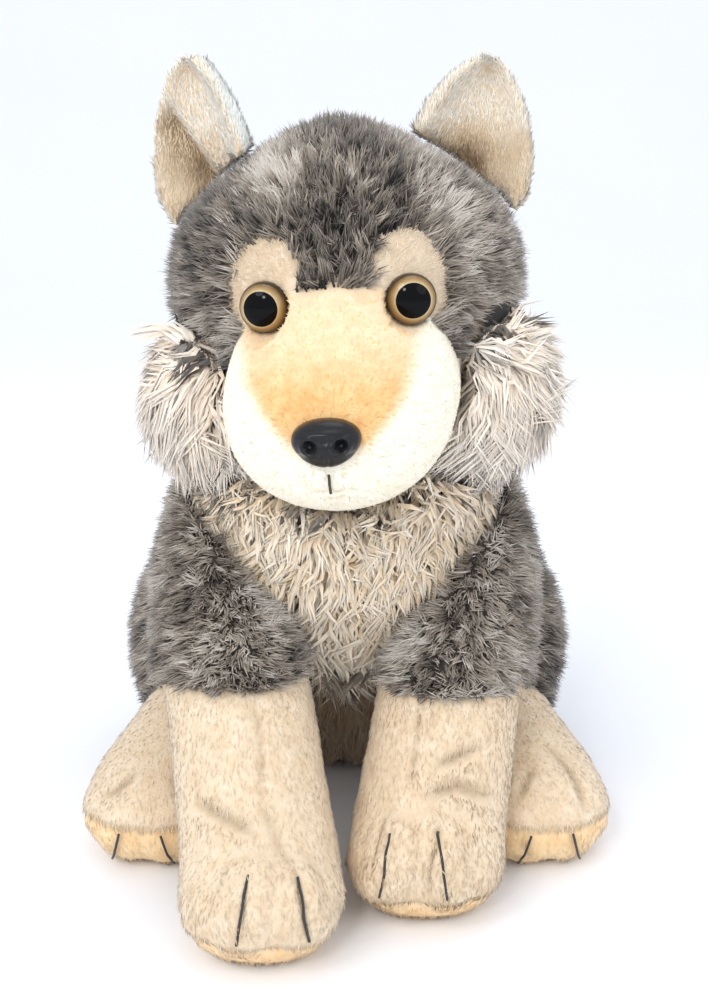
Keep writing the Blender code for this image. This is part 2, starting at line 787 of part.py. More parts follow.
def build_head(seam, room, raw, snout, ruffs):
    eyes, snout_button = build_buttons()
    filling = combine(copy_of(raw), snout, "UNION")
    cut(filling, room["torso"])
    for made in (*eyes.values(), snout_button):
        cut(filling, *made["rooms"], made["washer_room"])
    finish(filling, "head_filling", "filling")

    past_head = grown(raw, GAP)
    around = [past_head, room["torso"]]
    buttons = [piece for made in (*eyes.values(), snout_button) for piece in made["rooms"]]
    inside = [seam["over_mouth"]]
    panel("muzzle_cover", "cream_pile", snout, MUZZLE_PILE, inside, [*around, *buttons])
    panel("chin_cover", "cream_pile", snout, MUZZLE_PILE, [seam["under_mouth"]], around)

    around = [room["snout"], room["torso"]]
    for name, _ in SIDES:
        ruff = cut(copy_of(ruffs[name]), past_head, *around)
        finish(ruff, f"cheek_ruff_{name}", "long_pile")
        taken = [room["snout"], *eyes[name]["rooms"]]
        panel(f"brow_patch_{name}", "beige_pile", raw, BROW_PILE, [seam[f"{name}_brow"]], taken)
    taken = [seam["right_brow_room"], seam["left_brow_room"]]
    panel("head_gusset", "coat", raw, COAT_PILE, [seam["gusset"]], [*around, *taken])
    for name, _ in SIDES:
        taken = [seam["gusset_room"], seam[f"{name}_brow_room"], room[f"{name}_ruff"]]
        inside = [seam[f"{name}_head_half"]]
        outside = [*around, *taken, *eyes[name]["rooms"]]
        panel(f"head_side_{name}", "coat", raw, COAT_PILE, inside, outside)

    remove(past_head)

    outer = grown(snout, MUZZLE_PILE)
    drop = (MOUTH_HEIGHT - MOUTH_THREAD_TOP) / (THREAD_POINTS - 1)
    inwards = HEAD_FRAME.to_3x3() @ Vector((0, 1, 0))
    rays = [
        (HEAD_FRAME @ Vector((MUZZLE_LEAN, -REACH, MOUTH_THREAD_TOP + drop * i)), inwards)
        for i in range(THREAD_POINTS)
    ]
    thread("mouth_thread", laid_on([outer], rays))
    remove(outer)
    for made in (*eyes.values(), snout_button):
        remove(*made["rooms"], made["washer_room"])


def build_ears(room):
    ears = (
        ("right", RIGHT_EAR_BASE, RIGHT_EAR_UP, RIGHT_EAR_TURN),
        ("left", LEFT_EAR_BASE, LEFT_EAR_UP, LEFT_EAR_TURN),
    )
    layers = (
        ("front", "beige_pile", GAP / 2, EAR_FRONT_PILE),
        ("back", "ear_back", -EAR_BACK_PILE, -GAP / 2),
    )
    for name, base, up, turn in ears:
        for layer, slot, low, high in layers:
            made = ear_layer(HEAD_CENTRE + base, up, turn, low, high)
            cut(made, room["head"])
            finish(made, f"ear_{layer}_{name}", slot)


def toe_threads(name, covers, toes, side, angles):
    """Two threads drawn over a paw's toes, between two angles above the floor."""
    high, low = angles
    for word, way in (("inner", -side), ("outer", side)):
        rays = []
        for i in range(THREAD_POINTS):
            share = i / (THREAD_POINTS - 1)
            angle = high + (low - high) * share
            out = way * TOE_THREAD_OUT * (0.75 + 0.35 * share)
            pivot = Vector((toes.x + out, toes.y + TOE_THREAD_PIVOT, FRONT_SOLE_EDGE))
            outwards = Vector((0, -cos(angle), sin(angle)))
            rays.append((pivot + outwards * CAST, -outwards))
        thread(f"toe_thread_{name}_{word}", laid_on(covers, rays))


def build_front_leg(name, side, toes_back, sleeve_end, neighbours):
    """Builds one front leg, and returns the room that its paw and its sleeve need."""
    raw = front_leg_form(side, toes_back)
    over_floor = above(PAW_PILE)
    filling = cut(keep(copy_of(raw), over_floor), *neighbours)
    finish(filling, f"front_leg_filling_{name}", "filling")
    sleeve_part = above(sleeve_end)
    shin_part = between(FRONT_SOLE_EDGE + GAP, sleeve_end - GAP)
    sole_part = between(0, FRONT_SOLE_EDGE)
    panel(f"sleeve_{name}", "coat", raw, COAT_PILE, [sleeve_part], neighbours)
    cover = panel(f"foreleg_cover_{name}", "beige_pile", raw, PAW_PILE, [shin_part], neighbours)
    sole = panel(
        f"front_sole_{name}", "sole_pile", raw, PAW_PILE, [sole_part], neighbours, PAW_PILE
    )
    toes = Vector((side * (FRONT_LEG_STATIONS[-1][0] - FRONT_TOE_THREAD_IN), toes_back))
    toe_threads(f"front_{name}", [cover, sole], toes, side, FRONT_TOE_THREAD_ANGLES)
    over_gap = above(sleeve_end - GAP)
    room = [grown(raw, PAW_PILE + GAP), keep(grown(raw, COAT_PILE + GAP), over_gap)]
    remove(raw, over_floor, sleeve_part, shin_part, sole_part, over_gap)
    return room


def build_hind_leg(name, side, floor, neighbours):
    """Builds one hind leg, and returns the room that its thigh needs."""
    thigh, foot = thigh_form(side), foot_form(side)
    over_floor = above(PAW_PILE)
    filling = cut(keep(combine(copy_of(thigh), foot, "UNION"), over_floor), *neighbours)
    finish(filling, f"hind_leg_filling_{name}", "filling")
    past_foot, past_thigh = grown(foot, PAW_PILE + GAP), grown(thigh, GAP)
    around = [past_foot, *neighbours]
    panel(f"thigh_{name}", "coat", thigh, COAT_PILE, [floor], around, PAW_PILE)
    top_part, sole_part = above(HIND_SOLE_EDGE + GAP), between(0, HIND_SOLE_EDGE)
    around = [past_thigh, *neighbours]
    cover = panel(f"foot_cover_{name}", "beige_pile", foot, PAW_PILE, [top_part], around)
    sole = panel(f"hind_sole_{name}", "sole_pile", foot, PAW_PILE, [sole_part], around, PAW_PILE)
    last_x, last_y = FOOT_STATIONS[-1][:2]
    toes = Vector((side * last_x, last_y - FOOT_TIP))
    toe_threads(f"hind_{name}", [cover, sole], toes, side, HIND_TOE_THREAD_ANGLES)
    room = grown(thigh, COAT_PILE + GAP)
    remove(thigh, foot, over_floor, past_foot, past_thigh, top_part, sole_part)
    return room


def build_tail(floor, neighbours):
    upwards = Vector((0, 0, 1))
    raw = limb(TAIL_STATIONS, 2, TAIL_SIDES, upwards, TAIL_STATIONS[0][3], TAIL_TIP)
    over_floor = above(COAT_PILE)
    filling = cut(keep(copy_of(raw), over_floor), *neighbours)
    finish(filling, "tail_filling", "filling")
    panel("tail_cover", "coat", raw, COAT_PILE, [floor], neighbours, COAT_PILE)
    remove(raw, over_floor)


def main():
    for thing in list(bpy.data.objects):
        bpy.data.objects.remove(thing)
    torso, head, snout = torso_form(), head_form(), muzzle_form()
    ruffs = {name: ruff_form(side) for name, side in SIDES}
    seam = seams()
    room = rooms(seam, torso, head, snout, ruffs)
    build_torso(seam, room, torso)
    build_head(seam, room, head, snout, ruffs)
    build_ears(room)

    body = [room[key] for key in ("torso", "bib", "belly")]
    taken = [*body, *(room[key] for key in ("head", "snout", "right_ruff", "left_ruff"))]
    right_leg = build_front_leg("right", -1, RIGHT_TOES_BACK, RIGHT_SLEEVE_END, taken)
    taken.append(right_leg[0])
    left_leg = build_front_leg("left", 1, LEFT_TOES_BACK, LEFT_SLEEVE_END, taken)
    floor = seam["over_floor"]
    right_thigh = build_hind_leg("right", -1, floor, [*body, *right_leg])
    left_thigh = build_hind_leg("left", 1, floor, [*body, *left_leg])
    build_tail(floor, [room["torso"], right_thigh, left_thigh])
    remove(torso, head, snout, *ruffs.values(), *seam.values(), *room.values())
    remove(*right_leg, *left_leg, right_thigh, left_thigh)


main()
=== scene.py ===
"""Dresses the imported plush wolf: stuffed skins, fur in tufts, moulded eyes and nose, light and camera.

Metres, +Z up. The wolf faces -Y. Right and left are the wolf's own, so its right lies at -X.
Pixels are those of the photograph's frame, 708 wide and 1000 high.
"""

from math import cos, pi, radians, sin

import bmesh
import bpy
import numpy as np
from mathutils import Matrix, Vector, noise
from mathutils.bvhtree import BVHTree
from mathutils.kdtree import KDTree


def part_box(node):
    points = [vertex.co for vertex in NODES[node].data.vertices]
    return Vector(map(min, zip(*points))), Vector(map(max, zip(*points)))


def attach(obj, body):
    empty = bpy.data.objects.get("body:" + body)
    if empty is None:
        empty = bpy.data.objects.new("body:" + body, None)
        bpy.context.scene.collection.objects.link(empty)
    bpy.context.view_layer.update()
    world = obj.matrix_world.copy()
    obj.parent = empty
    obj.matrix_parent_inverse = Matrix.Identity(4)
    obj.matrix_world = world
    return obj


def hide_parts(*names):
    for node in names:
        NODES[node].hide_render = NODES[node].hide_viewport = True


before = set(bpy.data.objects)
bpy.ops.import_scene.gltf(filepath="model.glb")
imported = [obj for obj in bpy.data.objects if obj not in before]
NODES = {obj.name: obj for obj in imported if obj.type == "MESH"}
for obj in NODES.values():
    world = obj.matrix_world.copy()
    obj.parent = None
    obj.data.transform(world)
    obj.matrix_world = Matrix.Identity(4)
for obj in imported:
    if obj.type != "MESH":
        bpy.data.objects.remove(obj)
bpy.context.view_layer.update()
SIDES = (("right", -1), ("left", 1))

# Camera of the photograph
CAMERA_PLACE = np.array((0.003, -0.519, 0.265))
CAMERA_PITCH = radians(15)
FOCAL_PIXELS = 1300.0
CENTRE_PIXEL = (354.0, 500.0)
LENS = 46.8

# Head's frame, as in the solids
HEAD_FRAME = (
    Matrix.Translation((0.0, -0.022, 0.218))
    @ Matrix.Rotation(radians(-3.0), 4, "Z")
    @ Matrix.Rotation(radians(-3.5), 4, "Y")
)

FLOOR_CLEARANCE = 0.0003

# Eyes, as in the solids
EYE_RADIUS = 0.0088
EYE_BULGE = 0.0062
PUPIL_SHARE = 0.68

# Colours

COAT_TONES = ("#262321", "#47413c", "#6f665d", "#95897c", "#b9ad9f", "#e0d8cd")
BIB_TONES = ("#c8a981", "#e4caa6", "#f1dcbe", "#faeed9")
RUFF_TONES = ("#e6cfb2", "#f2dfc8", "#fbeedd", "#fff8ee")
BELLY_TONES = ("#937c66", "#ae967e", "#c4ad93", "#d6c2a8")
BEIGE_TONES = ("#d6bc9a", "#e0c8a8", "#e8d4b8", "#f1e2cb")
SOLE_TONES = ("#ebc18c", "#f4ce9b", "#f9daab", "#fde5c0")
CREAM_TONES = ("#fdf1d4", "#fef5de", "#fff8e6", "#fffaec")
MUZZLE_TONES = ("#c9b48c", "#fff3d4", "#fff4d6", "#fbd99a", "#f8cd8a", "#efbe80", "#e6ae75", "#da9c63")
TAN_TONES = ("#dca365", "#e6b274", "#f0c489", "#f5d097")
EAR_BACK_TONES = ("#c2c5bf", "#d2d5cf", "#e0e3dd", "#eef0eb")
# Painted shade, for the legs' creases and seams and the ears' hollows
PAINTED_SHADE_TONES = ("#6f5a43", "#8a7357", "#a38a6b")


def linear(text):
    """A colour written as sRGB, in the linear values that shaders take."""
    parts = [int(text[i : i + 2], 16) / 255 for i in (1, 3, 5)]
    return (*(p / 12.92 if p <= 0.04045 else ((p + 0.055) / 1.055) ** 2.4 for p in parts), 1.0)


# Shader nodes


def add(tree, kind, links=None, values=None, **settings):
    """A shader node with its settings, its unlinked values and the sockets that it takes."""
    node = tree.nodes.new(kind)
    for key, value in settings.items():
        setattr(node, key, value)
    for key, value in (values or {}).items():
        node.inputs[key].default_value = value
    for key, socket in (links or {}).items():
        tree.links.new(socket, node.inputs[key])
    return node


def ramp(tree, socket, stops):
    """A colour ramp with (place, colour) stops."""
    node = add(tree, "ShaderNodeValToRGB", {"Fac": socket})
    elements = node.color_ramp.elements
    while len(elements) < len(stops):
        elements.new(0.5)
    for element, (place, colour) in zip(elements, stops):
        element.position = place
        element.color = colour
    return node.outputs["Color"]


def tones(colours, low=0.0, high=1.0):
    step = (high - low) / (len(colours) - 1)
    return [(low + step * i, linear(colour)) for i, colour in enumerate(colours)]


# A colour mix node's sockets: its share, its two colours and its result
MIX_INPUTS = (0, 6, 7)
MIX_OUTPUT = 2


def mixed(tree, share, first, second, blend="MIX"):
    """Two colours mixed by a share. Each may be a socket or a constant."""
    node = add(tree, "ShaderNodeMix", data_type="RGBA", blend_type=blend)
    for key, value in zip(MIX_INPUTS, (share, first, second)):
        if isinstance(value, bpy.types.NodeSocket):
            tree.links.new(value, node.inputs[key])
        else:
            node.inputs[key].default_value = value
    return node.outputs[MIX_OUTPUT]


def new_material(name, values):
    made = bpy.data.materials.new(name)
    made.use_nodes = True
    shader = made.node_tree.nodes["Principled BSDF"]
    for key, value in values.items():
        shader.inputs[key].default_value = value
    return made, made.node_tree, shader


def painted(tree, shader, colour):
    tree.links.new(colour, shader.inputs["Base Color"])


# Matt polyester fibre, and the depth of the nap's grain
PILE = {"Roughness": 0.85, "Specular IOR Level": 0.12, "Sheen Weight": 0.25, "Sheen Roughness": 0.5}
NAP_GRAIN = {"Strength": 0.35, "Distance": 0.0008}
WHITE = (1.0, 1.0, 1.0, 1.0)
BLACK = (0.0, 0.0, 0.0, 1.0)


def tuft_material(name, stops, root_share, tip, tip_share):
    """Fur fibre. A tuft's own tone runs along u, and root to tip along v. The root is darkened to its
    share, and the tip is mixed with the tip's colour by its share."""
    made, tree, shader = new_material(name, PILE)
    place = add(tree, "ShaderNodeUVMap", uv_map="OFBake")
    parts = add(tree, "ShaderNodeSeparateXYZ", {"Vector": place.outputs["UV"]})
    colour = ramp(tree, parts.outputs["X"], stops)
    dark = (root_share, root_share, root_share, 1.0)
    shade = ramp(tree, parts.outputs["Y"], [(0.0, dark), (0.55, WHITE)])
    colour = mixed(tree, 1.0, colour, shade, "MULTIPLY")
    pale = (tip_share, tip_share, tip_share, 1.0)
    share = ramp(tree, parts.outputs["Y"], [(0.6, BLACK), (1.0, pale)])
    colour = mixed(tree, share, colour, linear(tip))
    painted(tree, shader, colour)
    return made


def skin_material(name, layers):
    """Short plush pile. Each later layer covers the ones before it by its own attribute."""
    made, tree, shader = new_material(name, PILE)
    place = add(tree, "ShaderNodeTexCoord").outputs["Object"]
    blotches = {"Scale": 160.0, "Detail": 5.0, "Roughness": 0.65}
    blotch = add(tree, "ShaderNodeTexNoise", {"Vector": place}, blotches)
    colour = None
    for attribute, colours in layers:
        own = ramp(tree, blotch.outputs["Fac"], tones(colours, 0.2, 0.8))
        if colour is None:
            colour = own
            continue
        share = add(tree, "ShaderNodeAttribute", attribute_name=attribute).outputs["Fac"]
        colour = mixed(tree, share, colour, own)
    painted(tree, shader, colour)
    grain = {"Scale": 900.0, "Detail": 3.0, "Roughness": 0.6}
    fine = add(tree, "ShaderNodeTexNoise", {"Vector": place}, grain)
    bump = add(tree, "ShaderNodeBump", {"Height": fine.outputs["Fac"]}, NAP_GRAIN)
    tree.links.new(bump.outputs["Normal"], shader.inputs["Normal"])
    return made


# Mesh helpers


def linked(name, data):
    made = bpy.data.objects.new(name, data)
    bpy.context.scene.collection.objects.link(made)
    return made


def mesh_object(name, points, faces):
    """A smooth mesh object from arrays. A face is a row of faces, all with as many corners."""
    mesh = bpy.data.meshes.new(name)
    mesh.vertices.add(len(points))
    mesh.vertices.foreach_set("co", np.ascontiguousarray(points, np.float32).ravel())
    mesh.loops.add(faces.size)
    mesh.loops.foreach_set("vertex_index", np.ascontiguousarray(faces, np.int32).ravel())
    mesh.polygons.add(len(faces))
    mesh.polygons.foreach_set("loop_start", np.arange(0, faces.size, faces.shape[1], dtype=np.int32))
    mesh.update(calc_edges=True)
    mesh.validate()
    mesh.shade_smooth()
    return linked(name, mesh)


def rows(items, key, kind=np.float32):
    """Three numbers for each item of a mesh."""
    found = np.empty(len(items) * 3, kind)
    items.foreach_get(key, found)
    return found.reshape(-1, 3)


def points_of(thing):
    return rows(thing.data.vertices, "co").astype(float)


def normals_of(thing):
    return rows(thing.data.vertices, "normal").astype(float)


def triangles_of(thing):
    thing.data.calc_loop_triangles()
    return rows(thing.data.loop_triangles, "vertices", np.int32)


def set_points(thing, points):
    thing.data.vertices.foreach_set("co", np.ascontiguousarray(points, np.float32).ravel())
    thing.data.update()


def set_field(thing, name, values):
    """A number at each point, for the material to read."""
    attribute = thing.data.attributes.new(name, "FLOAT", "POINT")
    attribute.data.foreach_set("value", np.ascontiguousarray(values, np.float32))


def set_uv(thing, values):
    """Two numbers at each point, as the UV map that the material reads."""
    layer = thing.data.uv_layers.new(name="OFBake")
    corners = np.empty(len(thing.data.loops), np.int32)
    thing.data.loops.foreach_get("vertex_index", corners)
    layer.data.foreach_set("uv", np.ascontiguousarray(values[corners], np.float32).ravel())


def tree_of(thing):
    shape = bmesh.new()
    shape.from_mesh(thing.data)
    made = BVHTree.FromBMesh(shape)
    shape.free()
    return made


def unit(vectors):
    return vectors / np.maximum(np.linalg.norm(vectors, axis=-1, keepdims=True), 1e-12)


def smoothstep(values):
    values = np.clip(values, 0.0, 1.0)
    return values * values * (3 - 2 * values)


def hump(gap, height, wide):
    """A soft hump of a height and a half width, at a distance from its middle."""
    return height * np.exp(-((gap / wide) ** 2))


def applied(thing):
    """Turns a thing's modifiers into its mesh."""
    graph = bpy.context.evaluated_depsgraph_get()
    mesh = bpy.data.meshes.new_from_object(thing.evaluated_get(graph))
    thing.modifiers.clear()
    thing.data = mesh
    return thing


# Where the photograph shows a place

FORWARD = np.array((0.0, cos(CAMERA_PITCH), -sin(CAMERA_PITCH)))
UPWARD = np.array((0.0, sin(CAMERA_PITCH), cos(CAMERA_PITCH)))
ACROSS = np.array((1.0, 0.0, 0.0))


def seen(points):
    """The pixels at which places show, as two arrays."""
    offset = points - CAMERA_PLACE
    depth = offset @ FORWARD
    u = CENTRE_PIXEL[0] + FOCAL_PIXELS * (offset @ ACROSS) / depth
    v = CENTRE_PIXEL[1] - FOCAL_PIXELS * (offset @ UPWARD) / depth
    return u, v


def place_at(tree, u, v):
    """The place on a surface that shows at a pixel, or None."""
    way = FORWARD * FOCAL_PIXELS + ACROSS * (u - CENTRE_PIXEL[0]) - UPWARD * (v - CENTRE_PIXEL[1])
    place, *_ = tree.ray_cast(Vector(CAMERA_PLACE), Vector(unit(way)))
    return None if place is None else np.array(place)


# Skins: the stuffed forms, with the pile's own roots


def skin(name, nodes, voxel, rounds):
    """One smooth closed skin round several CAD solids, by a voxel remesh and smoothing."""
    shape = bmesh.new()
    for node in nodes:
        shape.from_mesh(NODES[node].data)
    bmesh.ops.remove_doubles(shape, verts=shape.verts, dist=1e-6)
    mesh = bpy.data.meshes.new(name)
    shape.to_mesh(mesh)
    shape.free()
    made = linked(name, mesh)
    remesh = made.modifiers.new("remesh", "REMESH")
    remesh.mode = "VOXEL"
    remesh.voxel_size = voxel
    smooth = made.modifiers.new("smooth", "SMOOTH")
    smooth.factor = 0.5
    smooth.iterations = rounds
    applied(made)
    made.data.shade_smooth()
    return made


CLOTH_FRAMES = 20
AIR_PRESSURE = 4.0


def swollen(thing, pinned, cap):
    """Lets air pressure round out a skin between its pinned seams, by at most the cap."""
    start = points_of(thing)
    group = thing.vertex_groups.new(name="seams")
    group.add([int(i) for i in np.flatnonzero(pinned)], 1.0, "REPLACE")
    cloth = thing.modifiers.new("cloth", "CLOTH")
    settings = cloth.settings
    settings.vertex_group_mass = "seams"
    settings.use_pressure = True
    settings.uniform_pressure_force = AIR_PRESSURE
    settings.effector_weights.gravity = 0.0
    settings.tension_stiffness = 15.0
    settings.compression_stiffness = 15.0
    settings.bending_stiffness = 0.5
    cloth.collision_settings.use_collision = False
    scene = bpy.context.scene
    for step in range(1, CLOTH_FRAMES + 1):
        scene.frame_set(step)
    applied(thing)
    scene.frame_set(1)
    moves = points_of(thing) - start
    size = np.linalg.norm(moves, axis=1, keepdims=True)
    moves *= np.minimum(1.0, cap / np.maximum(size, 1e-9))
    set_points(thing, start + moves)


def subdivided(thing):
    modifier = thing.modifiers.new("finer", "SUBSURF")
    modifier.levels = modifier.render_levels = 1
    applied(thing)
    thing.data.shade_smooth()
    return thing


def distances(points, nodes):
    """How far each point lies from each of some CAD solids, as one column for each."""
    found = np.empty((len(points), len(nodes)))
    for column, node in enumerate(nodes):
        tree = tree_of(NODES[node])
        for row, point in enumerate(points):
            found[row, column] = tree.find_nearest(Vector(point))[3]
    return found


# Most crossings that a ray counts, and the step that takes it off a surface
MOST_CROSSINGS = 20
STEP_OFF = 1e-6


def inside(points, nodes):
    """Which points lie inside one of some closed solids: a ray in any one direction crosses the
    surface of such a solid an odd number of times."""
    found = np.zeros(len(points), bool)
    way = Vector((0.31, 0.17, 0.93)).normalized()
    for node in nodes:
        low, high = (np.array(corner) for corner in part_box(node))
        tree = tree_of(NODES[node])
        near = ~found & (points > low).all(axis=1) & (points < high).all(axis=1)
        for i in np.flatnonzero(near):
            place, crossings = Vector(points[i]), 0
            while place is not None and crossings < MOST_CROSSINGS:
                place, *_ = tree.ray_cast(place, way)
                if place is not None:
                    place += way * STEP_OFF
                    crossings += 1
            found[i] = crossings % 2 == 1
    return found


# Places along a stretch of a crease, its strength at its ends, and the depth that shades it fully
CREASE_STEPS = 12
CREASE_END = 0.35
FULL_CREASE = 0.0015


def pressed(thing, lines):
    """Sinks creases into a skin, and gives how near to one each point is. A crease is
    (pixels of its line, depth, half width)."""
    points, normals = points_of(thing), normals_of(thing)
    tree = tree_of(thing)
    sunk, nearness = np.zeros(len(points)), np.zeros(len(points))
    for pixels, depth, wide in lines:
        places = []
        for (u0, v0), (u1, v1) in zip(pixels, pixels[1:]):
            for share in np.linspace(0, 1, CREASE_STEPS):
                place = place_at(tree, u0 + (u1 - u0) * share, v0 + (v1 - v0) * share)
                if place is not None:
                    places.append(place)
        if not places:
            continue
        places = np.array(places)
        steps = np.arange(len(places))
        ends = np.minimum(steps, steps[::-1]) / max(len(places) - 1, 1)
        gaps = np.linalg.norm(points[:, None, :] - places[None, :, :], axis=2)
        nearest = gaps.argmin(axis=1)
        gap = gaps[np.arange(len(points)), nearest] / wide
        strength = np.clip(CREASE_END + 3 * ends[nearest], 0, 1)
        sunk += depth * strength * (1 - 0.35 * gap**2) * np.exp(-(gap**2))
        near = strength * np.exp(-((1.4 * gap) ** 2)) * min(depth / FULL_CREASE, 1.0)
        nearness = np.maximum(nearness, near)
    set_points(thing, points - normals * sunk[:, None])
    return nearness


THREAD_HALF = 0.0004


def drawn_in(thing, nodes, rise, wide, reach):
    """Swells a skin beside sewn threads, so that they draw it in along their own line."""
    points = points_of(thing)
    gap = distances(points, nodes).min(axis=1)
    swell = rise * smoothstep((gap - THREAD_HALF) / wide) * smoothstep((reach - gap) / (0.6 * reach))
    set_points(thing, points + normals_of(thing) * swell[:, None])
    return hump(gap, 1.0, wide)


def kept_over_floor(points):
    points[..., 2] = np.maximum(points[..., 2], FLOOR_CLEARANCE)
    return points


# Fur


def mottle(points, scale, seed):
    """Soft noise from 0 to 1 at each point."""
    offset = Vector((seed * 7.1, seed * 3.3, seed * 5.7))
    found = [noise.noise(Vector(point) * scale + offset) for point in points]
    return np.clip(0.5 + 0.75 * np.array(found), 0.0, 1.0)


class Roots:
    """Places scattered evenly over the part of a skin where a mask holds."""

    def __init__(self, thing, mask, count, seed):
        self.rng = np.random.default_rng(seed)
        points, normals, triangles = points_of(thing), normals_of(thing), triangles_of(thing)
        corners = points[triangles]
        area = np.linalg.norm(np.cross(corners[:, 1] - corners[:, 0], corners[:, 2] - corners[:, 0]), axis=1)
        area = area * mask[triangles].mean(axis=1)
        total = np.cumsum(area)
        spots = (np.arange(count) + self.rng.random(count)) * total[-1] / count
        face = np.minimum(np.searchsorted(total, spots), len(area) - 1)
        a, b = self.rng.random((2, count))
        over = a + b > 1
        a[over], b[over] = 1 - a[over], 1 - b[over]
        self.weights = np.stack([1 - a - b, a, b], axis=1)
        self.corners = triangles[face]
        self.place = self.at(points)
        self.normal = unit(self.at(normals))

    def at(self, values):
        """A point value of the skin, at each root."""
        values = values[self.corners]
        weights = self.weights if values.ndim == 2 else self.weights[:, :, None]
        return (values * weights).sum(axis=1)

    def drop(self, gone):
        stay = ~gone
        for key in ("weights", "corners", "place", "normal"):
            setattr(self, key, getattr(self, key)[stay])

    def clear_of(self, nodes, lift):
        """Drops the roots whose pile would stand inside another solid."""
        self.drop(inside(self.place + self.normal * lift, nodes))


def locks_of(places, each, rng):
    """The lock that each root belongs to: that of the nearest of some chosen roots."""
    count = max(len(places) // each, 1)
    tree = KDTree(count)
    for i, index in enumerate(rng.choice(len(places), count, replace=False)):
        tree.insert(Vector(places[index]), i)
    tree.balance()
    return np.array([tree.find(Vector(place))[1] for place in places]), count


# How much tufts differ in lift, length and width, and how deep they root
LIFT_SPREAD, LENGTH_SPREAD, WIDTH_SPREAD = 0.18, 0.14, 0.2
ROOT_DEPTH = 0.0006


def tufts(
    name, roots, flow, length, width, lift, tone, material, wild=0.25, stations=(0.0,), lock=0,
    pull=0.5, swirl=0.0, streak=0.0, wave=0.0, shrink=0.72, bend=0.0, soft=0.6,
):
    """Three-sided tapering tufts. At share t a tuft's middle is
    root + L (N lift (t - bend t t) + W run t^(1 + bend) + S wave sin(5 t + p) t) + C t t, with N the
    skin's normal, W the way the pile lies along the skin, S its sideways, p a start of its own,
    and C the pull towards the middle of its lock. The tufts of a lock share a turn and a tone. A tuft
    has a ring of corners at each station and a pointed tip. Its shading leans by the soft share to the
    skin's, as a mass of fine fibre takes the light."""
    rng = roots.rng
    place, normal = roots.place, roots.normal
    count = len(place)
    group, groups = locks_of(place, lock, rng) if lock else (np.arange(count), count)
    flow = unit(flow - normal * (flow * normal).sum(axis=1, keepdims=True))
    flow = flow + rng.normal(0, wild, (count, 3)) + rng.normal(0, swirl, (groups, 3))[group]
    way = unit(flow - normal * (flow * normal).sum(axis=1, keepdims=True))
    tone = np.clip(tone + rng.normal(0, streak, groups)[group], 0.01, 0.99)
    lift = np.clip(lift * (1 + rng.normal(0, LIFT_SPREAD, count)), 0.05, 1.25)[:, None]
    run = np.sqrt(np.clip(1.2 - lift * lift, 0.05, None))
    length = (length * (1 + rng.normal(0, LENGTH_SPREAD, count)))[:, None]
    root = place - normal * ROOT_DEPTH
    side = unit(np.cross(normal, way))
    start = (rng.random(groups)[group] * 2 * pi)[:, None]

    def middle(share):
        waved = side * wave * np.sin(5 * share + start) * share
        risen = normal * lift * (share - bend * share**2)
        return root + length * (risen + way * run * share ** (1 + bend) + waved)

    drawn = np.zeros((count, 3))
    if lock:
        tips = middle(1.0)
        centre = np.zeros((groups, 3))
        np.add.at(centre, group, tips)
        centre /= np.maximum(np.bincount(group, minlength=groups), 1)[:, None]
        drawn = (centre[group] - tips) * pull

    turn = rng.random(count)[:, None] * 2 * pi
    radius = (width * (1 + rng.normal(0, WIDTH_SPREAD, count)))[:, None] / 2
    rings, outwards = [], []
    for share in stations:
        centre = middle(share) + drawn * share**2
        along = unit(middle(share + 0.05) - middle(share) + drawn * 0.1 * share)
        up = unit(np.cross(along, side))
        size = radius * (1 - (1 - shrink) * share / max(stations[-1], 0.5))
        for corner in range(3):
            angle = turn + corner * 2 * pi / 3
            out = side * np.cos(angle) + up * np.sin(angle)
            rings.append(centre + size * out)
            outwards.append(unit(out * (1 - soft) + normal * soft))
    rings.append(middle(1.0) + drawn)
    outwards.append(normal)
    heights = [share for share in stations for _ in range(3)] + [1.0]
    template = []
    for ring in range(len(stations) - 1):
        for corner in range(3):
            a, b = ring * 3 + corner, ring * 3 + (corner + 1) % 3
            template += [(a, b, b + 3), (a, b + 3, a + 3)]
    last = 3 * (len(stations) - 1)
    template += [(last + corner, last + (corner + 1) % 3, last + 3) for corner in range(3)]
    template = np.array(template)
    points = kept_over_floor(np.stack(rings, axis=1))
    each = points.shape[1]
    faces = (template[None] + np.arange(count)[:, None, None] * each).reshape(-1, 3)
    made = mesh_object(name, points.reshape(-1, 3), faces)
    made.data.normals_split_custom_set_from_vertices(np.stack(outwards, axis=1).reshape(-1, 3))
    uv = np.empty((count, each, 2), np.float32)
    uv[:, :, 0] = tone[:, None]
    uv[:, :, 1] = np.array(heights)[None, :] * 0.98 + 0.01
    set_uv(made, uv.reshape(-1, 2))
    made.data.materials.append(material)
    return made


def seated(thing, slot, *nodes):
    """A piece that rides on the wolf and stands for some CAD solids, which it hides; its slot is not used."""
    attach(thing, "root")
    if nodes:
        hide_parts(*nodes)
    return thing


def away_from(points, centre, drift=(0.0, 0.0, 0.0)):
    return unit(points - np.array(centre)) + np.array(drift)


# Materials

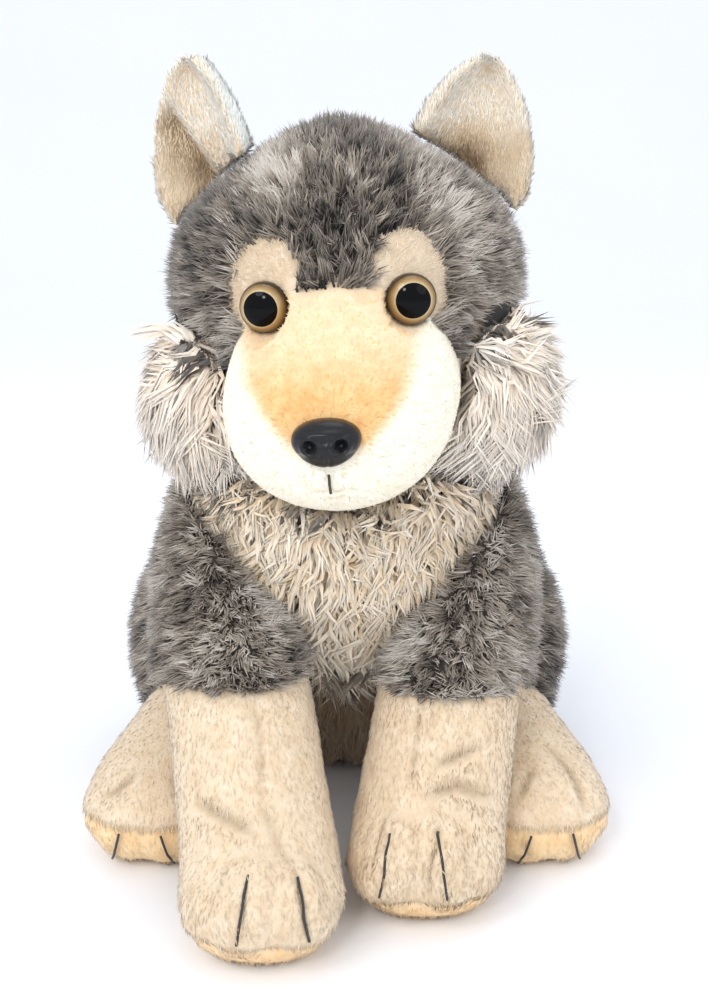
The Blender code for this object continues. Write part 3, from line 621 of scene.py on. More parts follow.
coat_fibre = tuft_material("coat_fibre", tones(COAT_TONES), 0.55, "#d9d1c6", 0.35)
bib_fibre = tuft_material("bib_fibre", tones(BIB_TONES), 0.78, "#fbf3e4", 0.8)
ruff_fibre = tuft_material("ruff_fibre", tones(RUFF_TONES), 0.94, "#fbf4ea", 0.5)
belly_fibre = tuft_material("belly_fibre", tones(BELLY_TONES), 0.6, "#c9b69c", 0.3)
# Each half of the legs' ramp starts with a darker tone, for painted shade
leg_and_shade_stops = tones(("#8b7456", *BEIGE_TONES), 0.0, 0.45) + tones(("#96703f", *SOLE_TONES), 0.55, 1.0)
leg_fibre = tuft_material("leg_fibre", leg_and_shade_stops, 0.93, "#fff8ec", 0.12)
muzzle_fibre = tuft_material("muzzle_fibre", tones(MUZZLE_TONES), 0.96, "#fffdf5", 0.08)
# The ear's front ramp holds darker tones for painted shade and a pale one for painted light
ear_front_shade_and_light_tones = ("#705a43", "#a78e6e", *BEIGE_TONES, "#fff8e8")
ear_stops = tones(ear_front_shade_and_light_tones, 0.0, 0.45) + tones(EAR_BACK_TONES, 0.55, 1.0)
ear_fibre = tuft_material("ear_fibre", ear_stops, 0.94, "#fffaf0", 0.12)

DARK_COAT = ("#2b2826", "#3f3a36", "#534d47")
# On the legs the darkest layer is painted shade: in creases, along the sole's seam and beside the toe threads
leg_layers = [("", BEIGE_TONES), ("sole", SOLE_TONES), ("painted_crease_shade", PAINTED_SHADE_TONES), ("coat", DARK_COAT)]
leg_pile = skin_material("leg_pile", leg_layers)
head_pile = skin_material(
    "head_pile",
    [("", DARK_COAT), ("brow", BEIGE_TONES), ("muzzle", CREAM_TONES), ("blush", TAN_TONES)],
)
coat_roots = skin_material("coat_roots", [("", DARK_COAT), ("belly", BELLY_TONES[:3])])
bib_roots = skin_material("bib_roots", [("", ("#bfa383", "#d2b898", "#e2ccaf"))])
ruff_roots = skin_material("ruff_roots", [("", ("#dfc8ae", "#ead7c0", "#f2e3d0"))])
# On the ears the darkest layer is painted shade, behind the right ear's fold and in the left ear's hollow
ear_pile = skin_material("ear_pile", [("", BEIGE_TONES), ("back", EAR_BACK_TONES), ("recess_shade", PAINTED_SHADE_TONES)])


# Head

SHORT_PANELS = ("muzzle_cover", "chin_cover", "brow_patch_right", "brow_patch_left")
HEAD_COAT = ("head_gusset", "head_side_right", "head_side_left")
RUFFS = ("cheek_ruff_right", "cheek_ruff_left")
BACK_PANELS = ("back_panel_right", "back_panel_left")
LEG_FILLINGS = [f"{kind}_leg_filling_{name}" for kind in ("front", "hind") for name, _ in SIDES]

# Voxel size and rounds of smoothing of the skins
MESHES = {
    "head": (0.0036, 12), "torso": (0.004, 10), "leg": (0.0034, 12), "tail": (0.003, 6),
    "undercoat": (0.003, 8), "ear": (0.0018, 6),
}


def frame_of(front, washer):
    """A button's middle and the way that it faces, from its own solid and its washer's."""
    ends = [points_of(NODES[node]) for node in (washer, front)]
    low, high = ((end.min(axis=0) + end.max(axis=0)) / 2 for end in ends)
    return Vector(high), Vector(unit(high - low))


def eye_base(name):
    """The middle of the plane that an eye's dome stands on, and the way that it faces."""
    middle, facing = frame_of(f"pupil_{name}", f"eye_washer_{name}")
    tip = max(points_of(NODES[f"pupil_{name}"]) @ np.array(facing))
    return middle + facing * (tip - EYE_BULGE - middle.dot(facing)), facing


# Round an eye: how wide the socket's edge is, how far the pile may rise past it, and how far it
# stays behind the dome's foot
SOCKET_EDGE, SOCKET_RISE, SOCKET_DEPTH = 0.0020, 0.0080, 0.0009


def socketed(points):
    """Lets the skin fall back round each eye, so that it shows to its rim."""
    for name, _ in SIDES:
        base, facing = eye_base(name)
        offset = points - np.array(base)
        forward = offset @ np.array(facing)
        out = np.linalg.norm(offset - forward[:, None] * np.array(facing), axis=1)
        limit = SOCKET_RISE * smoothstep((out - EYE_RADIUS) / SOCKET_EDGE) - SOCKET_DEPTH
        over = np.where(out < EYE_RADIUS + SOCKET_EDGE, np.maximum(forward - limit, 0.0), 0.0)
        points = points - np.array(facing) * over[:, None]
    return points


def muzzle_blush(points):
    """How tan the muzzle is: the air-brushed top, as wide as the muzzle by the eyes and drawn in
    to the nose."""
    u, v = seen(points)
    half = np.interp(v, (300, 345, 385, 410, 430, 448), (90, 88, 82, 68, 52, 38))
    edge = smoothstep((half - np.abs(u - 328)) / 26 + 0.5)
    fade = smoothstep((462 - v) / 26)
    deepening = np.interp(v, (280, 340, 400, 430), (0.45, 0.50, 0.82, 1.0))
    return edge * fade * deepening


# Lines of the mouth, as pixels with their depth and half width
MOUTH_CREASES = (
    (((310, 494), (322, 491), (334, 490), (352, 491), (374, 494)), 0.0009, 0.0010),
)

# Rise, width and reach of the swelling beside a thread
MOUTH_SWELL = (0.0011, 0.0009, 0.0060)
TOE_SWELLS = {"front": (0.0021, 0.0013, 0.0110), "hind": (0.0013, 0.0013, 0.0110)}

head = skin("head_skin", ["head_filling", *SHORT_PANELS], *MESHES["head"])
subdivided(head)
mouth_shade = pressed(head, MOUTH_CREASES)
mouth_shade = np.maximum(mouth_shade, drawn_in(head, ["mouth_thread"], *MOUTH_SWELL))
head_points = socketed(points_of(head))
set_points(head, head_points)
gaps = distances(head_points, (*SHORT_PANELS, *HEAD_COAT, *RUFFS))
snout_gap = gaps[:, :2].min(axis=1)
brow_gap = gaps[:, 2:4].min(axis=1)
coat_gap = gaps[:, 4:7].min(axis=1)
ruff_gap = gaps[:, 7:9].min(axis=1)
other_gap = np.minimum(brow_gap, np.minimum(coat_gap, ruff_gap))
muzzle_share = smoothstep(0.5 + (other_gap - snout_gap) / 0.0025)
brow_share = smoothstep(0.5 + (np.minimum(snout_gap, coat_gap) - brow_gap) / 0.002)
beside_muzzle = smoothstep((0.012 - ruff_gap) / 0.006) * smoothstep((0.016 - snout_gap) / 0.006)
set_field(head, "muzzle", muzzle_share)
set_field(head, "brow", np.maximum(brow_share, beside_muzzle))
blush = muzzle_blush(head_points) * muzzle_share
set_field(head, "blush", np.minimum(blush * 1.25, 1.0))
head.data.materials.append(head_pile)
seated(head, "cream_pile", "head_filling", *SHORT_PANELS)

# Body and limbs

# The torso's front under the chin takes the belly's tones
CHIN_FRONT, CHIN_HALF_WIDTH, CHIN_HEIGHT = -0.030, 0.048, 0.115

torso = skin("torso_skin", ["torso_filling"], *MESHES["torso"])
torso_points = points_of(torso)
torso_gaps = distances(torso_points, (*BACK_PANELS, "belly_panel", "chest_bib"))
on_front = torso_gaps.argmin(axis=1) >= len(BACK_PANELS)
across, forward, height = torso_points.T
under_chin = (forward < CHIN_FRONT) & (np.abs(across) < CHIN_HALF_WIDTH) & (height > CHIN_HEIGHT)
set_field(torso, "belly", on_front | under_chin)
torso.data.materials.append(coat_roots)
seated(torso, "filling", "torso_filling")

LEG_CREASES = {
    "right": (
        (((246, 880), (243, 938)), 0.0016, 0.0016),
        (((294, 874), (300, 905), (309, 942)), 0.0016, 0.0016),
        (((196, 803), (225, 818), (254, 832)), 0.0020, 0.0030),
        (((254, 700), (260, 737), (263, 806)), 0.0010, 0.0018),
        (((263, 806), (272, 830), (290, 868)), 0.0009, 0.0028),
        (((234, 960), (234, 972)), 0.0012, 0.0020),
    ),
    "left": (
        (((434, 846), (427, 896)), 0.0016, 0.0016),
        (((388, 815), (380, 840), (374, 868)), 0.0016, 0.0020),
        (((422, 689), (416, 740), (410, 789)), 0.0010, 0.0018),
        (((438, 766), (458, 757), (476, 749)), 0.0018, 0.0028),
        (((428, 796), (456, 786), (492, 797)), 0.0020, 0.0030),
    ),
}
FOOT_CREASES = {
    "right": (
        (((104, 796), (118, 786), (137, 773)), 0.0018, 0.0030),
        (((176, 775), (182, 800)), 0.0012, 0.0025),
    ),
    "left": (
        (((532, 766), (525, 782), (520, 797)), 0.0018, 0.0022),
        (((552, 750), (568, 766), (579, 784), (585, 810)), 0.0018, 0.0024),
        (((522, 840), (533, 867), (542, 894)), 0.0014, 0.0018),
    ),
}

# Half width of a seam's pins and its edge, most swelling, edge of the long coat, inset of a sole,
# half width of the painted shade along a seam, and how dark the painted shade in a crease is
SEAM_EDGE, MOST_SWELLING, COAT_EDGE, SOLE_INSET = 0.0016, 0.0022, 0.003, 0.0011
SEAM_SHADE, CREASE_SHADE = 0.0009, 0.55

limbs = {}
for name, side in SIDES:
    for kind, form, creases in (
        ("front", ("sleeve", "foreleg_cover", "front_sole", "front_leg_filling"), LEG_CREASES),
        ("hind", ("thigh", "foot_cover", "hind_sole", "hind_leg_filling"), FOOT_CREASES),
    ):
        coat_node, cover_node, sole_node, filling_node = (f"{word}_{name}" for word in form)
        limb = skin(f"{kind}_leg_skin_{name}", [filling_node, cover_node, sole_node], *MESHES["leg"])
        panels = (cover_node, sole_node, coat_node)
        gaps = distances(points_of(limb), panels)
        swollen(limb, np.abs(gaps[:, 0] - gaps[:, 1]) < SEAM_EDGE, MOST_SWELLING)
        subdivided(limb)
        painted_crease_shade = pressed(limb, creases[name])
        threads = [f"toe_thread_{kind}_{name}_{word}" for word in ("inner", "outer")]
        painted_crease_shade = np.maximum(painted_crease_shade, drawn_in(limb, threads, *TOE_SWELLS[kind]))
        points = points_of(limb)
        gaps = distances(points, panels)
        to_cover, to_sole, to_coat = gaps.T
        sole = smoothstep(0.5 + (to_cover - to_sole) / SEAM_EDGE) * (to_sole < to_coat)
        coat = smoothstep(0.5 + (np.minimum(to_cover, to_sole) - to_coat) / COAT_EDGE)
        set_points(limb, kept_over_floor(points - normals_of(limb) * (SOLE_INSET * sole)[:, None]))
        # Painted shade along the seam between cover and sole, joined to that of the creases and the toe
        # threads
        painted_crease_shade = np.maximum(painted_crease_shade, hump(to_cover - to_sole, 1.0, SEAM_SHADE) * (to_cover < to_coat))
        set_field(limb, "sole", sole)
        set_field(limb, "coat", coat)
        set_field(limb, "painted_crease_shade", CREASE_SHADE * painted_crease_shade)
        limb.data.materials.append(leg_pile)
        seated(limb, "beige_pile", filling_node, cover_node, sole_node)
        limbs[kind, name] = {"skin": limb, "sole": sole, "coat": coat, "painted_crease_shade": painted_crease_shade}

tail = skin("tail_skin", ["tail_filling"], *MESHES["tail"])
tail.data.materials.append(coat_roots)
set_field(tail, "belly", np.zeros(len(tail.data.vertices)))
seated(tail, "filling", "tail_filling")

# Long pile: the roots of the bib and the cheek ruffs lie under the fur's outer face


def undercoat(name, node, inset, material):
    made = skin(name, [node], *MESHES["undercoat"])
    points, normals = points_of(made), normals_of(made)
    set_points(made, points - normals * inset)
    made.data.materials.append(material)
    return made


bib = undercoat("bib_roots", "chest_bib", 0.0075, bib_roots)
ruffs = {name: undercoat(f"ruff_roots_{name}", f"cheek_ruff_{name}", 0.0065, ruff_roots) for name, _ in SIDES}

# Coat

# How high over its root the long and the short pile is tried for standing inside another solid
LONG_REACH, SHORT_REACH = 0.004, 0.001


def coat_tone(points, level):
    """Charcoal to pale, in blotches and finer streaks."""
    wide = mottle(points, 42.0, 1)
    fine = mottle(points, 130.0, 2)
    return level + 0.50 * (wide - 0.5) + 0.42 * (fine - 0.5)


# Soft spots on the head's coat, as the photograph shows them: pixel, half sizes, change of tone
HEAD_SPOTS = (
    ((330, 228), (28, 60), -0.38),
    ((275, 172), (18, 36), 0.48),
    ((250, 224), (36, 16), -0.30),
    ((192, 250), (32, 56), -0.38),
    ((335, 120), (44, 18), -0.24),
    ((388, 216), (20, 16), -0.22),
    ((455, 215), (40, 60), 0.16),
    ((412, 165), (36, 24), 0.10),
    ((480, 290), (30, 40), 0.16),
    ((215, 165), (26, 20), 0.06),
)


def spotted(points, normals, tone, spots):
    u, v = seen(points)
    facing = np.clip(-(normals @ FORWARD) * 2 + 0.4, 0, 1)
    for (x, y), (wide, high), change in spots:
        tone = tone + change * facing * np.exp(-(((u - x) / wide) ** 2) - ((v - y) / high) ** 2)
    return tone


def coat_on(name, thing, mask, count, flow, others, nodes, level=0.5, spots=(), seed=1):
    """A grey coat in short straight tufts, mottled, over the part of a skin where the mask holds."""
    roots = Roots(thing, mask, count, seed)
    roots.clear_of(others, LONG_REACH)
    tone = coat_tone(roots.place, level)
    tone = spotted(roots.place, roots.normal, tone, spots)
    tone = tone + roots.rng.normal(0, 0.10, len(roots.place))
    made = tufts(
        name, roots, flow(roots.place), length=0.0072, width=0.00092, lift=0.86, tone=tone,
        material=coat_fibre, wild=0.45, lock=9, pull=0.45, swirl=0.60, streak=0.15,
    )
    return seated(made, "coat", *nodes)


coat_on(
    "head_coat", head,
    (coat_gap < np.minimum(snout_gap, brow_gap)) & (coat_gap < ruff_gap + 0.001),
    39000, lambda p: away_from(p, (-0.006, -0.085, 0.205), (0, 0.1, -0.25)),
    ["torso_filling", "chest_bib", *RUFFS], HEAD_COAT, level=0.57, spots=HEAD_SPOTS, seed=3,
)
coat_on(
    "body_coat", torso, ~on_front & ~under_chin, 20000, lambda p: (0.0, 0.25, -1.0),
    ["head_filling", "chest_bib", "tail_filling", *LEG_FILLINGS, *RUFFS], BACK_PANELS, level=0.60,
    seed=5,
)
for name, side in SIDES:
    for kind, other, node, count, level in (
        ("front", "hind", f"sleeve_{name}", 12000, 0.70),
        ("hind", "front", f"thigh_{name}", 9500, 0.56 if name == "right" else 0.46),
    ):
        limb = limbs[kind, name]
        coat_on(
            f"{'sleeve' if kind == 'front' else 'thigh'}_coat_{name}", limb["skin"],
            limb["coat"] > 0.5, count, lambda p, side=side: (side * 0.15, 0.05, -1.0),
            ["torso_filling", "head_filling", "chest_bib", f"{other}_leg_filling_{name}", *RUFFS],
            (node,), level=level, seed=7 + side,
        )
coat_on(
    "tail_coat", tail, np.ones(len(tail.data.vertices)), 4500, lambda p: (1.0, -0.2, -0.2),
    ["torso_filling", "hind_leg_filling_left", "hind_leg_filling_right"], ("tail_cover",), level=0.58,
    seed=11,
)

# Bib, belly and ruffs

bib_points = points_of(bib)
bib_mask = bib_points[:, 2] < 0.176 - 0.2 * np.abs(bib_points[:, 0])
roots = Roots(bib, bib_mask, count=14000, seed=21)
roots.clear_of(["torso_filling", "head_filling"], LONG_REACH)
flow = away_from(roots.place, (0.0, -0.035, 0.185), (0, -0.1, -0.35))
low = smoothstep((0.120 - roots.place[:, 2]) / 0.03)
# Paler towards the bottom: painted light against the shade between the front legs
tone = 0.62 + 0.25 * low + 0.35 * (mottle(roots.place, 60.0, 5) - 0.5)
tone = tone + roots.rng.normal(0, 0.12, len(roots.place))
bib_fur = tufts(
    "chest_bib_fur", roots, flow, length=0.0165 + 0.0090 * low, width=0.00155, lift=0.70, tone=tone,
    material=bib_fibre, wild=0.32, stations=(0.0, 0.6), lock=6, pull=0.60, swirl=0.45, streak=0.08,
    wave=0.16, shrink=0.95, bend=0.45, soft=0.80,
)
seated(bib_fur, "long_pile", "chest_bib")
seated(bib, "long_pile", "chest_bib")

belly_mask = on_front & (height < CHIN_HEIGHT)
roots = Roots(torso, belly_mask, count=6000, seed=23)
roots.clear_of(["head_filling", "chest_bib", *LEG_FILLINGS], LONG_REACH)
flow = (0.0, -0.15, -1.0)
tone = 0.5 + roots.rng.normal(0, 0.18, len(roots.place))
belly_fur = tufts(
    "belly_fur", roots, flow, length=0.0110, width=0.0013, lift=0.65, tone=tone,
    material=belly_fibre, wild=0.3, lock=8, pull=0.5, swirl=0.3,
)
seated(belly_fur, "long_pile", "belly_panel")

for name, side in SIDES:
    ruff = ruffs[name]
    roots = Roots(ruff, np.ones(len(ruff.data.vertices)), count=7400, seed=31 + side)
    roots.clear_of(["head_filling", "torso_filling"], SHORT_REACH)
    swirl = (side * 0.036 - 0.004, -0.075, 0.206)
    low = smoothstep((0.196 - roots.place[:, 2]) / 0.022)
    flow = away_from(roots.place, swirl, (side * 0.15, 0.15, -0.55))
    flow = flow + low[:, None] * (-side * 0.9, -0.3, -0.8)
    tone = 0.60 + 0.35 * (mottle(roots.place, 70.0, 6) - 0.5)
    tone = tone + roots.rng.normal(0, 0.10, len(roots.place))
    fur = tufts(
        f"cheek_ruff_fur_{name}", roots, flow, length=0.0180 + 0.0075 * low, width=0.00145, lift=0.58,
        tone=tone, material=ruff_fibre, wild=0.20, stations=(0.0, 0.5), lock=12, pull=0.55, swirl=0.40,
        streak=0.06, wave=0.22, shrink=0.9, bend=0.3, soft=0.75,
    )
    seated(fur, "long_pile", f"cheek_ruff_{name}")
    seated(ruff, "long_pile", f"cheek_ruff_{name}")

# Short pile


def short_pile(
    name, thing, mask, count, flow, tone_of, material, slot, length=0.0034, seed=41, others=(), lift=0.28
):
    """Nap in short tufts that lie close to the skin, over the part where the mask holds."""
    roots = Roots(thing, mask, count, seed)
    roots.clear_of(others, SHORT_REACH)
    made = tufts(
        name, roots, flow(roots.place), length=length, width=0.00085, lift=lift, tone=tone_of(roots),
        material=material, wild=0.25, soft=0.92,
    )
    return seated(made, slot)


def leg_tone(roots, second, dark):
    """A tone in the first or the second half of a ramp, in soft blotches with a little grain.
    It is darkened by painted shade, given as dark, and paled where that is below nought, as painted light.
    """
    own = 0.28 + 0.16 * (mottle(roots.place, 90.0, 9) - 0.5)
    own = own + 0.12 * (roots.rng.random(len(roots.place)) - 0.5)
    return np.clip(own - 0.26 * dark, 0.0, 0.44) + np.where(second, 0.55, 0.0)


# Where the muzzle's nap parts, and the painted shade of each leg over the front leg at the wolf's right;
# below nought it is painted light
nose_tip = (-0.008, -0.118, 0.178)
LEG_PAINTED_LIGHT_AND_SHADE = {"front": {"right": 0.0, "left": 0.45}, "hind": {"right": -0.25, "left": -0.25}}
# The muzzle's nap is darker along the mouth's crease and thread: painted shade
short_pile(
    "muzzle_pile", head, muzzle_share > 0.5, 15000, lambda p: away_from(p, nose_tip, (0, 0.3, 0)),
    lambda r: 0.08 + r.at(blush) * 0.80 + r.rng.random(len(r.place)) * 0.08 - 0.10 * r.at(mouth_shade),
    muzzle_fibre, "cream_pile", length=0.0024, others=["torso_filling", "chest_bib"],
)
short_pile(
    "brow_pile", head, brow_share > 0.5, 4000, lambda p: away_from(p, (-0.006, -0.095, 0.205)),
    lambda r: 0.15 + 0.11 * (r.place[:, 0] > 0) + r.rng.random(len(r.place)) * 0.14, leg_fibre,
    "beige_pile", length=0.0030,
)
for name, side in SIDES:
    for kind, count in (("front", 9500), ("hind", 5500)):
        limb = limbs[kind, name]
        mask = limb["coat"] < 0.5
        shade = LEG_PAINTED_LIGHT_AND_SHADE[kind][name]
        short_pile(
            f"{kind}_leg_pile_{name}",
            limb["skin"],
            mask,
            count,
            lambda p: (0.0, -0.6, -1.0),
            lambda r, limb=limb, shade=shade: leg_tone(
                r, r.at(limb["sole"]) > 0.5, r.at(limb["painted_crease_shade"]) + shade
            ),
            leg_fibre,
            "beige_pile",
            others=["torso_filling"],
            seed=43,
        )

# Ears

# The fold of the wolf's right ear, as pixels from its top to its foot, and the hollow of the left ear with
# the strength of its painted shade
FOLD_TOP = np.array((166.0, 92.0))
FOLD_FOOT = np.array((217.0, 166.0))
FOLD_DEPTH = 0.0046
HOLLOW_MIDDLE = (462, 166)
HOLLOW_SIZES = (38, 34)
HOLLOW_SHADE = 1.2

# How far behind the front layer the back's tones start, and over what distance
BACK_START, BACK_FADE = 0.0022, 0.0014


def fold_of(points, normals):
    """How far behind its fold the right ear's front lies, from 0 to 1."""
    u, v = seen(points)
    along = (FOLD_FOOT - FOLD_TOP) / np.linalg.norm(FOLD_FOOT - FOLD_TOP)
    behind = (v - FOLD_TOP[1]) * along[0] - (u - FOLD_TOP[0]) * along[1]
    run = (u - FOLD_TOP[0]) * along[0] + (v - FOLD_TOP[1]) * along[1]
    step = smoothstep(behind / 6) * (1 - smoothstep((behind - 6) / 52))
    front = smoothstep(-(normals @ FORWARD) * 2)
    return step * smoothstep(run / 30) * front


def rim_of(points):
    """The strip of the right ear's back that turns to the front along its inner edge."""
    u, v = seen(points)
    return smoothstep((u - 203 - 0.44 * (v - 66)) / 7) * smoothstep((v - 60) / 16)


def ear_tip_light(points):
    """Painted light: how much paler an ear is made near its tip, by its height."""
    return 1.1 * smoothstep((points[:, 2] - 0.255) / 0.032)


def rim_light(normals):
    """Painted rim light: how far a place turns from the front, which pales the edge of an ear."""
    return 0.6 * smoothstep(1.2 - 1.6 * np.abs(normals @ FORWARD))


for name, side in SIDES:
    ear = subdivided(skin(f"ear_skin_{name}", [f"ear_front_{name}", f"ear_back_{name}"], *MESHES["ear"]))
    points, normals = points_of(ear), normals_of(ear)
    # Painted shade behind the right ear's fold, which also sets that part back, and in the left ear's hollow
    if name == "right":
        recess_shade = fold_of(points, normals)
        points = points + FORWARD * (FOLD_DEPTH * recess_shade)[:, None]
        set_points(ear, points)
    else:
        u, v = seen(points)
        (x, y), (wide, high) = HOLLOW_MIDDLE, HOLLOW_SIZES
        recess_shade = HOLLOW_SHADE * np.exp(-(((u - x) / wide) ** 2) - ((v - y) / high) ** 2)
        recess_shade = recess_shade * smoothstep(-(normals @ FORWARD) * 2)
    gaps = distances(points, (f"ear_front_{name}", f"ear_back_{name}"))
    back = smoothstep((gaps[:, 0] - BACK_START) / BACK_FADE)
    if name == "right":
        back = np.maximum(back, rim_of(points))
    set_field(ear, "back", back)
    set_field(ear, "recess_shade", recess_shade)
    ear.data.materials.append(ear_pile)
    seated(ear, "beige_pile", f"ear_front_{name}", f"ear_back_{name}")
    # The ears' nap takes painted shade in the hollows and painted light at the tips and the edges
    short_pile(
        f"ear_pile_{name}",
        ear,
        np.ones(len(points)),
        6500,
        lambda p: (0.0, 0.0, 1.0),
        lambda r, back=back, recess_shade=recess_shade: leg_tone(
            r, r.at(back) > 0.5, r.at(recess_shade) - ear_tip_light(r.place) - rim_light(r.normal)
        ),
        ear_fibre,
        "beige_pile",
        lift=0.36,
        others=["head_filling"],
    )


# Moulded eyes and nose


def dome_surface(size, low, high, rings, sides, height):
    """A round cap: points at polar radius r from low to high, lifted by height(x, y)."""
    radii = low + (high - low) * np.sin(np.linspace(0, pi / 2, rings))
    angles = np.linspace(0, 2 * pi, sides, endpoint=False)
    x = radii[:, None] * np.cos(angles)[None]
    y = radii[:, None] * np.sin(angles)[None]
    z = height(x, y)
    points = np.stack([x * size[0], y * size[1], z], axis=2).reshape(-1, 3)
    faces = []
    for ring in range(rings - 1):
        for i in range(sides):
            j = (i + 1) % sides
            faces.append((ring * sides + i, (ring + 1) * sides + i, (ring + 1) * sides + j, ring * sides + j))
    return points, np.array(faces)


def walled(points, faces, depth, sides):
    """A cap with a straight wall behind its outer ring."""
    back = points[-sides:].copy()
    back[:, 2] -= depth
    last = len(points) - sides
    rim = np.arange(sides)
    after = (rim + 1) % sides
    wall = np.stack([last + rim, last + sides + rim, last + sides + after, last + after], axis=1)
    return np.concatenate([points, back]), np.concatenate([faces, wall])


def placed(points, centre, facing, upright):
    """Points made about Z, set at a centre and turned to face outwards with y upright."""
    z = np.array(facing)
    y = unit(np.array(upright) - z * (np.array(upright) @ z))
    x = np.cross(y, z)
    return np.array(centre) + points @ np.stack([x, y, z])


UPRIGHT = HEAD_FRAME.to_3x3() @ Vector((0, 0, 1))


def iris_material():
    """Clear domed acrylic over a painted amber iris with a dark rim, and a pale band round the pupil that is
    a painted highlight: colour by the distance out.
    """
    gloss = {"Roughness": 0.1, "Coat Weight": 0.4, "Coat Roughness": 0.02, "Specular IOR Level": 0.3}
    made, tree, shader = new_material("eye_acrylic", gloss)
    place = add(tree, "ShaderNodeUVMap", uv_map="OFBake")
    parts = add(tree, "ShaderNodeSeparateXYZ", {"Vector": place.outputs["UV"]})
    streak = add(tree, "ShaderNodeTexNoise", {"Vector": place.outputs["UV"]}, {"Scale": 22.0, "Detail": 2.0})
    # The pale band just out from the pupil is a painted highlight of the light caught at the pupil's edge
    stops = [
        (0.0, linear("#3a2c1a")),
        (0.05, linear("#d2bd94")),
        (0.18, linear("#b79c6e")),
        (0.48, linear("#947848")),
        (0.72, linear("#6e532f")),
        (0.88, linear("#2a1d10")),
        (1.0, linear("#0c0806")),
    ]
    colour = ramp(tree, parts.outputs["Y"], stops)
    shade = ramp(tree, streak.outputs["Fac"], [(0.3, (0.8, 0.8, 0.8, 1)), (0.7, (1.15, 1.1, 1.05, 1))])
    colour = mixed(tree, 1.0, colour, shade, "MULTIPLY")
    painted(tree, shader, colour)
    return made


def plastic(name, colour, roughness, coat, grain=0.0, shine=0.3):
    """Moulded plastic with a faint unevenness from the mould."""
    gloss = {"Roughness": roughness, "Coat Weight": coat, "Coat Roughness": 0.05}
    made, tree, shader = new_material(name, {**gloss, "Specular IOR Level": shine})
    place = add(tree, "ShaderNodeTexCoord").outputs["Object"]
    fine = add(tree, "ShaderNodeTexNoise", {"Vector": place}, {"Scale": 700.0, "Detail": 3.0})
    base = mixed(tree, 0.25, linear(colour), fine.outputs["Color"], "SOFT_LIGHT")
    painted(tree, shader, base)
    if grain:
        unevenness = {"Strength": grain, "Distance": 0.0003}
        bump = add(tree, "ShaderNodeBump", {"Height": fine.outputs["Fac"]}, unevenness)
        tree.links.new(bump.outputs["Normal"], shader.inputs["Normal"])
    return made


iris_finish = iris_material()
pupil_finish = plastic("pupil_acrylic", "#020203", 0.06, 0.0, shine=0.14)
nose_finish = plastic("nose_satin_plastic", "#101013", 0.30, 0.15, 0.25)
washer_finish = plastic("washer_nylon", "#cfcdc6", 0.5, 0.0)

# Rings and sides of the caps, the hole at a cap's middle, the walls behind them, how far the iris
# runs under the pupil, and how far the pupil stands over it
IRIS_GRID, PUPIL_GRID, NOSE_GRID = (14, 64), (12, 48), (44, 96)
CAP_HOLE = 0.001
IRIS_WALL, NOSE_WALL = 0.0012, 0.0022
IRIS_OVERLAP = 0.03
PUPIL_LIFT = 0.00015
EYE_SIZE = (EYE_RADIUS, EYE_RADIUS)


def lens(x, y):
    return EYE_BULGE * np.sqrt(np.clip(1 - x * x - y * y, 0, 1))


def pupil_lens(x, y):
    return lens(x, y) + PUPIL_LIFT


for name, _ in SIDES:
    base, facing = eye_base(name)
    points, faces = dome_surface(EYE_SIZE, PUPIL_SHARE - IRIS_OVERLAP, 1.0, *IRIS_GRID, lens)
    points, faces = walled(points, faces, IRIS_WALL, IRIS_GRID[1])
    iris = mesh_object(f"iris_{name}", placed(points, base, facing, UPRIGHT), faces)
    radial = np.linalg.norm(points[:, :2], axis=1) / EYE_RADIUS
    angle = np.arctan2(points[:, 1], points[:, 0]) / (2 * pi) + 0.5
    uv = np.stack([angle, np.clip((radial - PUPIL_SHARE) / (1 - PUPIL_SHARE), 0.01, 0.99)], axis=1)
    set_uv(iris, uv)
    iris.data.materials.append(iris_finish)
    seated(iris, "eye_plastic", f"eye_{name}")

    points, faces = dome_surface(EYE_SIZE, CAP_HOLE, PUPIL_SHARE, *PUPIL_GRID, pupil_lens)
    pupil = mesh_object(f"pupil_dome_{name}", placed(points, base, facing, UPRIGHT), faces)
    pupil.data.materials.append(pupil_finish)
    seated(pupil, "pupil_plastic", f"pupil_{name}")

NOSE_HALF = (0.0110, 0.0078)
NOSE_BULGE, NOSE_TAPER = 0.0075, 0.16
# Height in metres and half width as a share of the button, of each of its parts
NOSE_RIDGE, NOSE_DIP = (0.0009, 0.14), (0.0005, 0.16)
NOSTRIL, NOSTRIL_RIM = (0.0022, 0.15), (0.0007, 0.07)
NOSE_NOTCH, NOSE_GROOVE = (0.0012, 0.13), (0.0010, 0.07)


def nose_height(x, y):
    """A domed button with a ridge over two rimmed nostrils, a notch under each and a groove."""
    z = NOSE_BULGE * np.sqrt(np.clip(1.001 - x * x - y * y, 0, 1)) ** 0.8
    z += hump(y - 0.5 + 0.25 * x * x, *NOSE_RIDGE) * (1 - x * x)
    z -= hump(y - 0.2, *NOSE_DIP) * (1 - x * x)
    for way in (-1, 1):
        gap = np.sqrt((x - way * 0.44) ** 2 + ((y + 0.02) * 0.8) ** 2)
        z -= hump(gap, *NOSTRIL)
        z += hump(gap - 0.27, *NOSTRIL_RIM)
        notch = np.sqrt(((x - way * 0.80) / 1.2) ** 2 + (y + 0.42) ** 2)
        z -= hump(notch, *NOSE_NOTCH)
    z -= hump(x, *NOSE_GROOVE) * smoothstep((-y - 0.35) / 0.3)
    return z


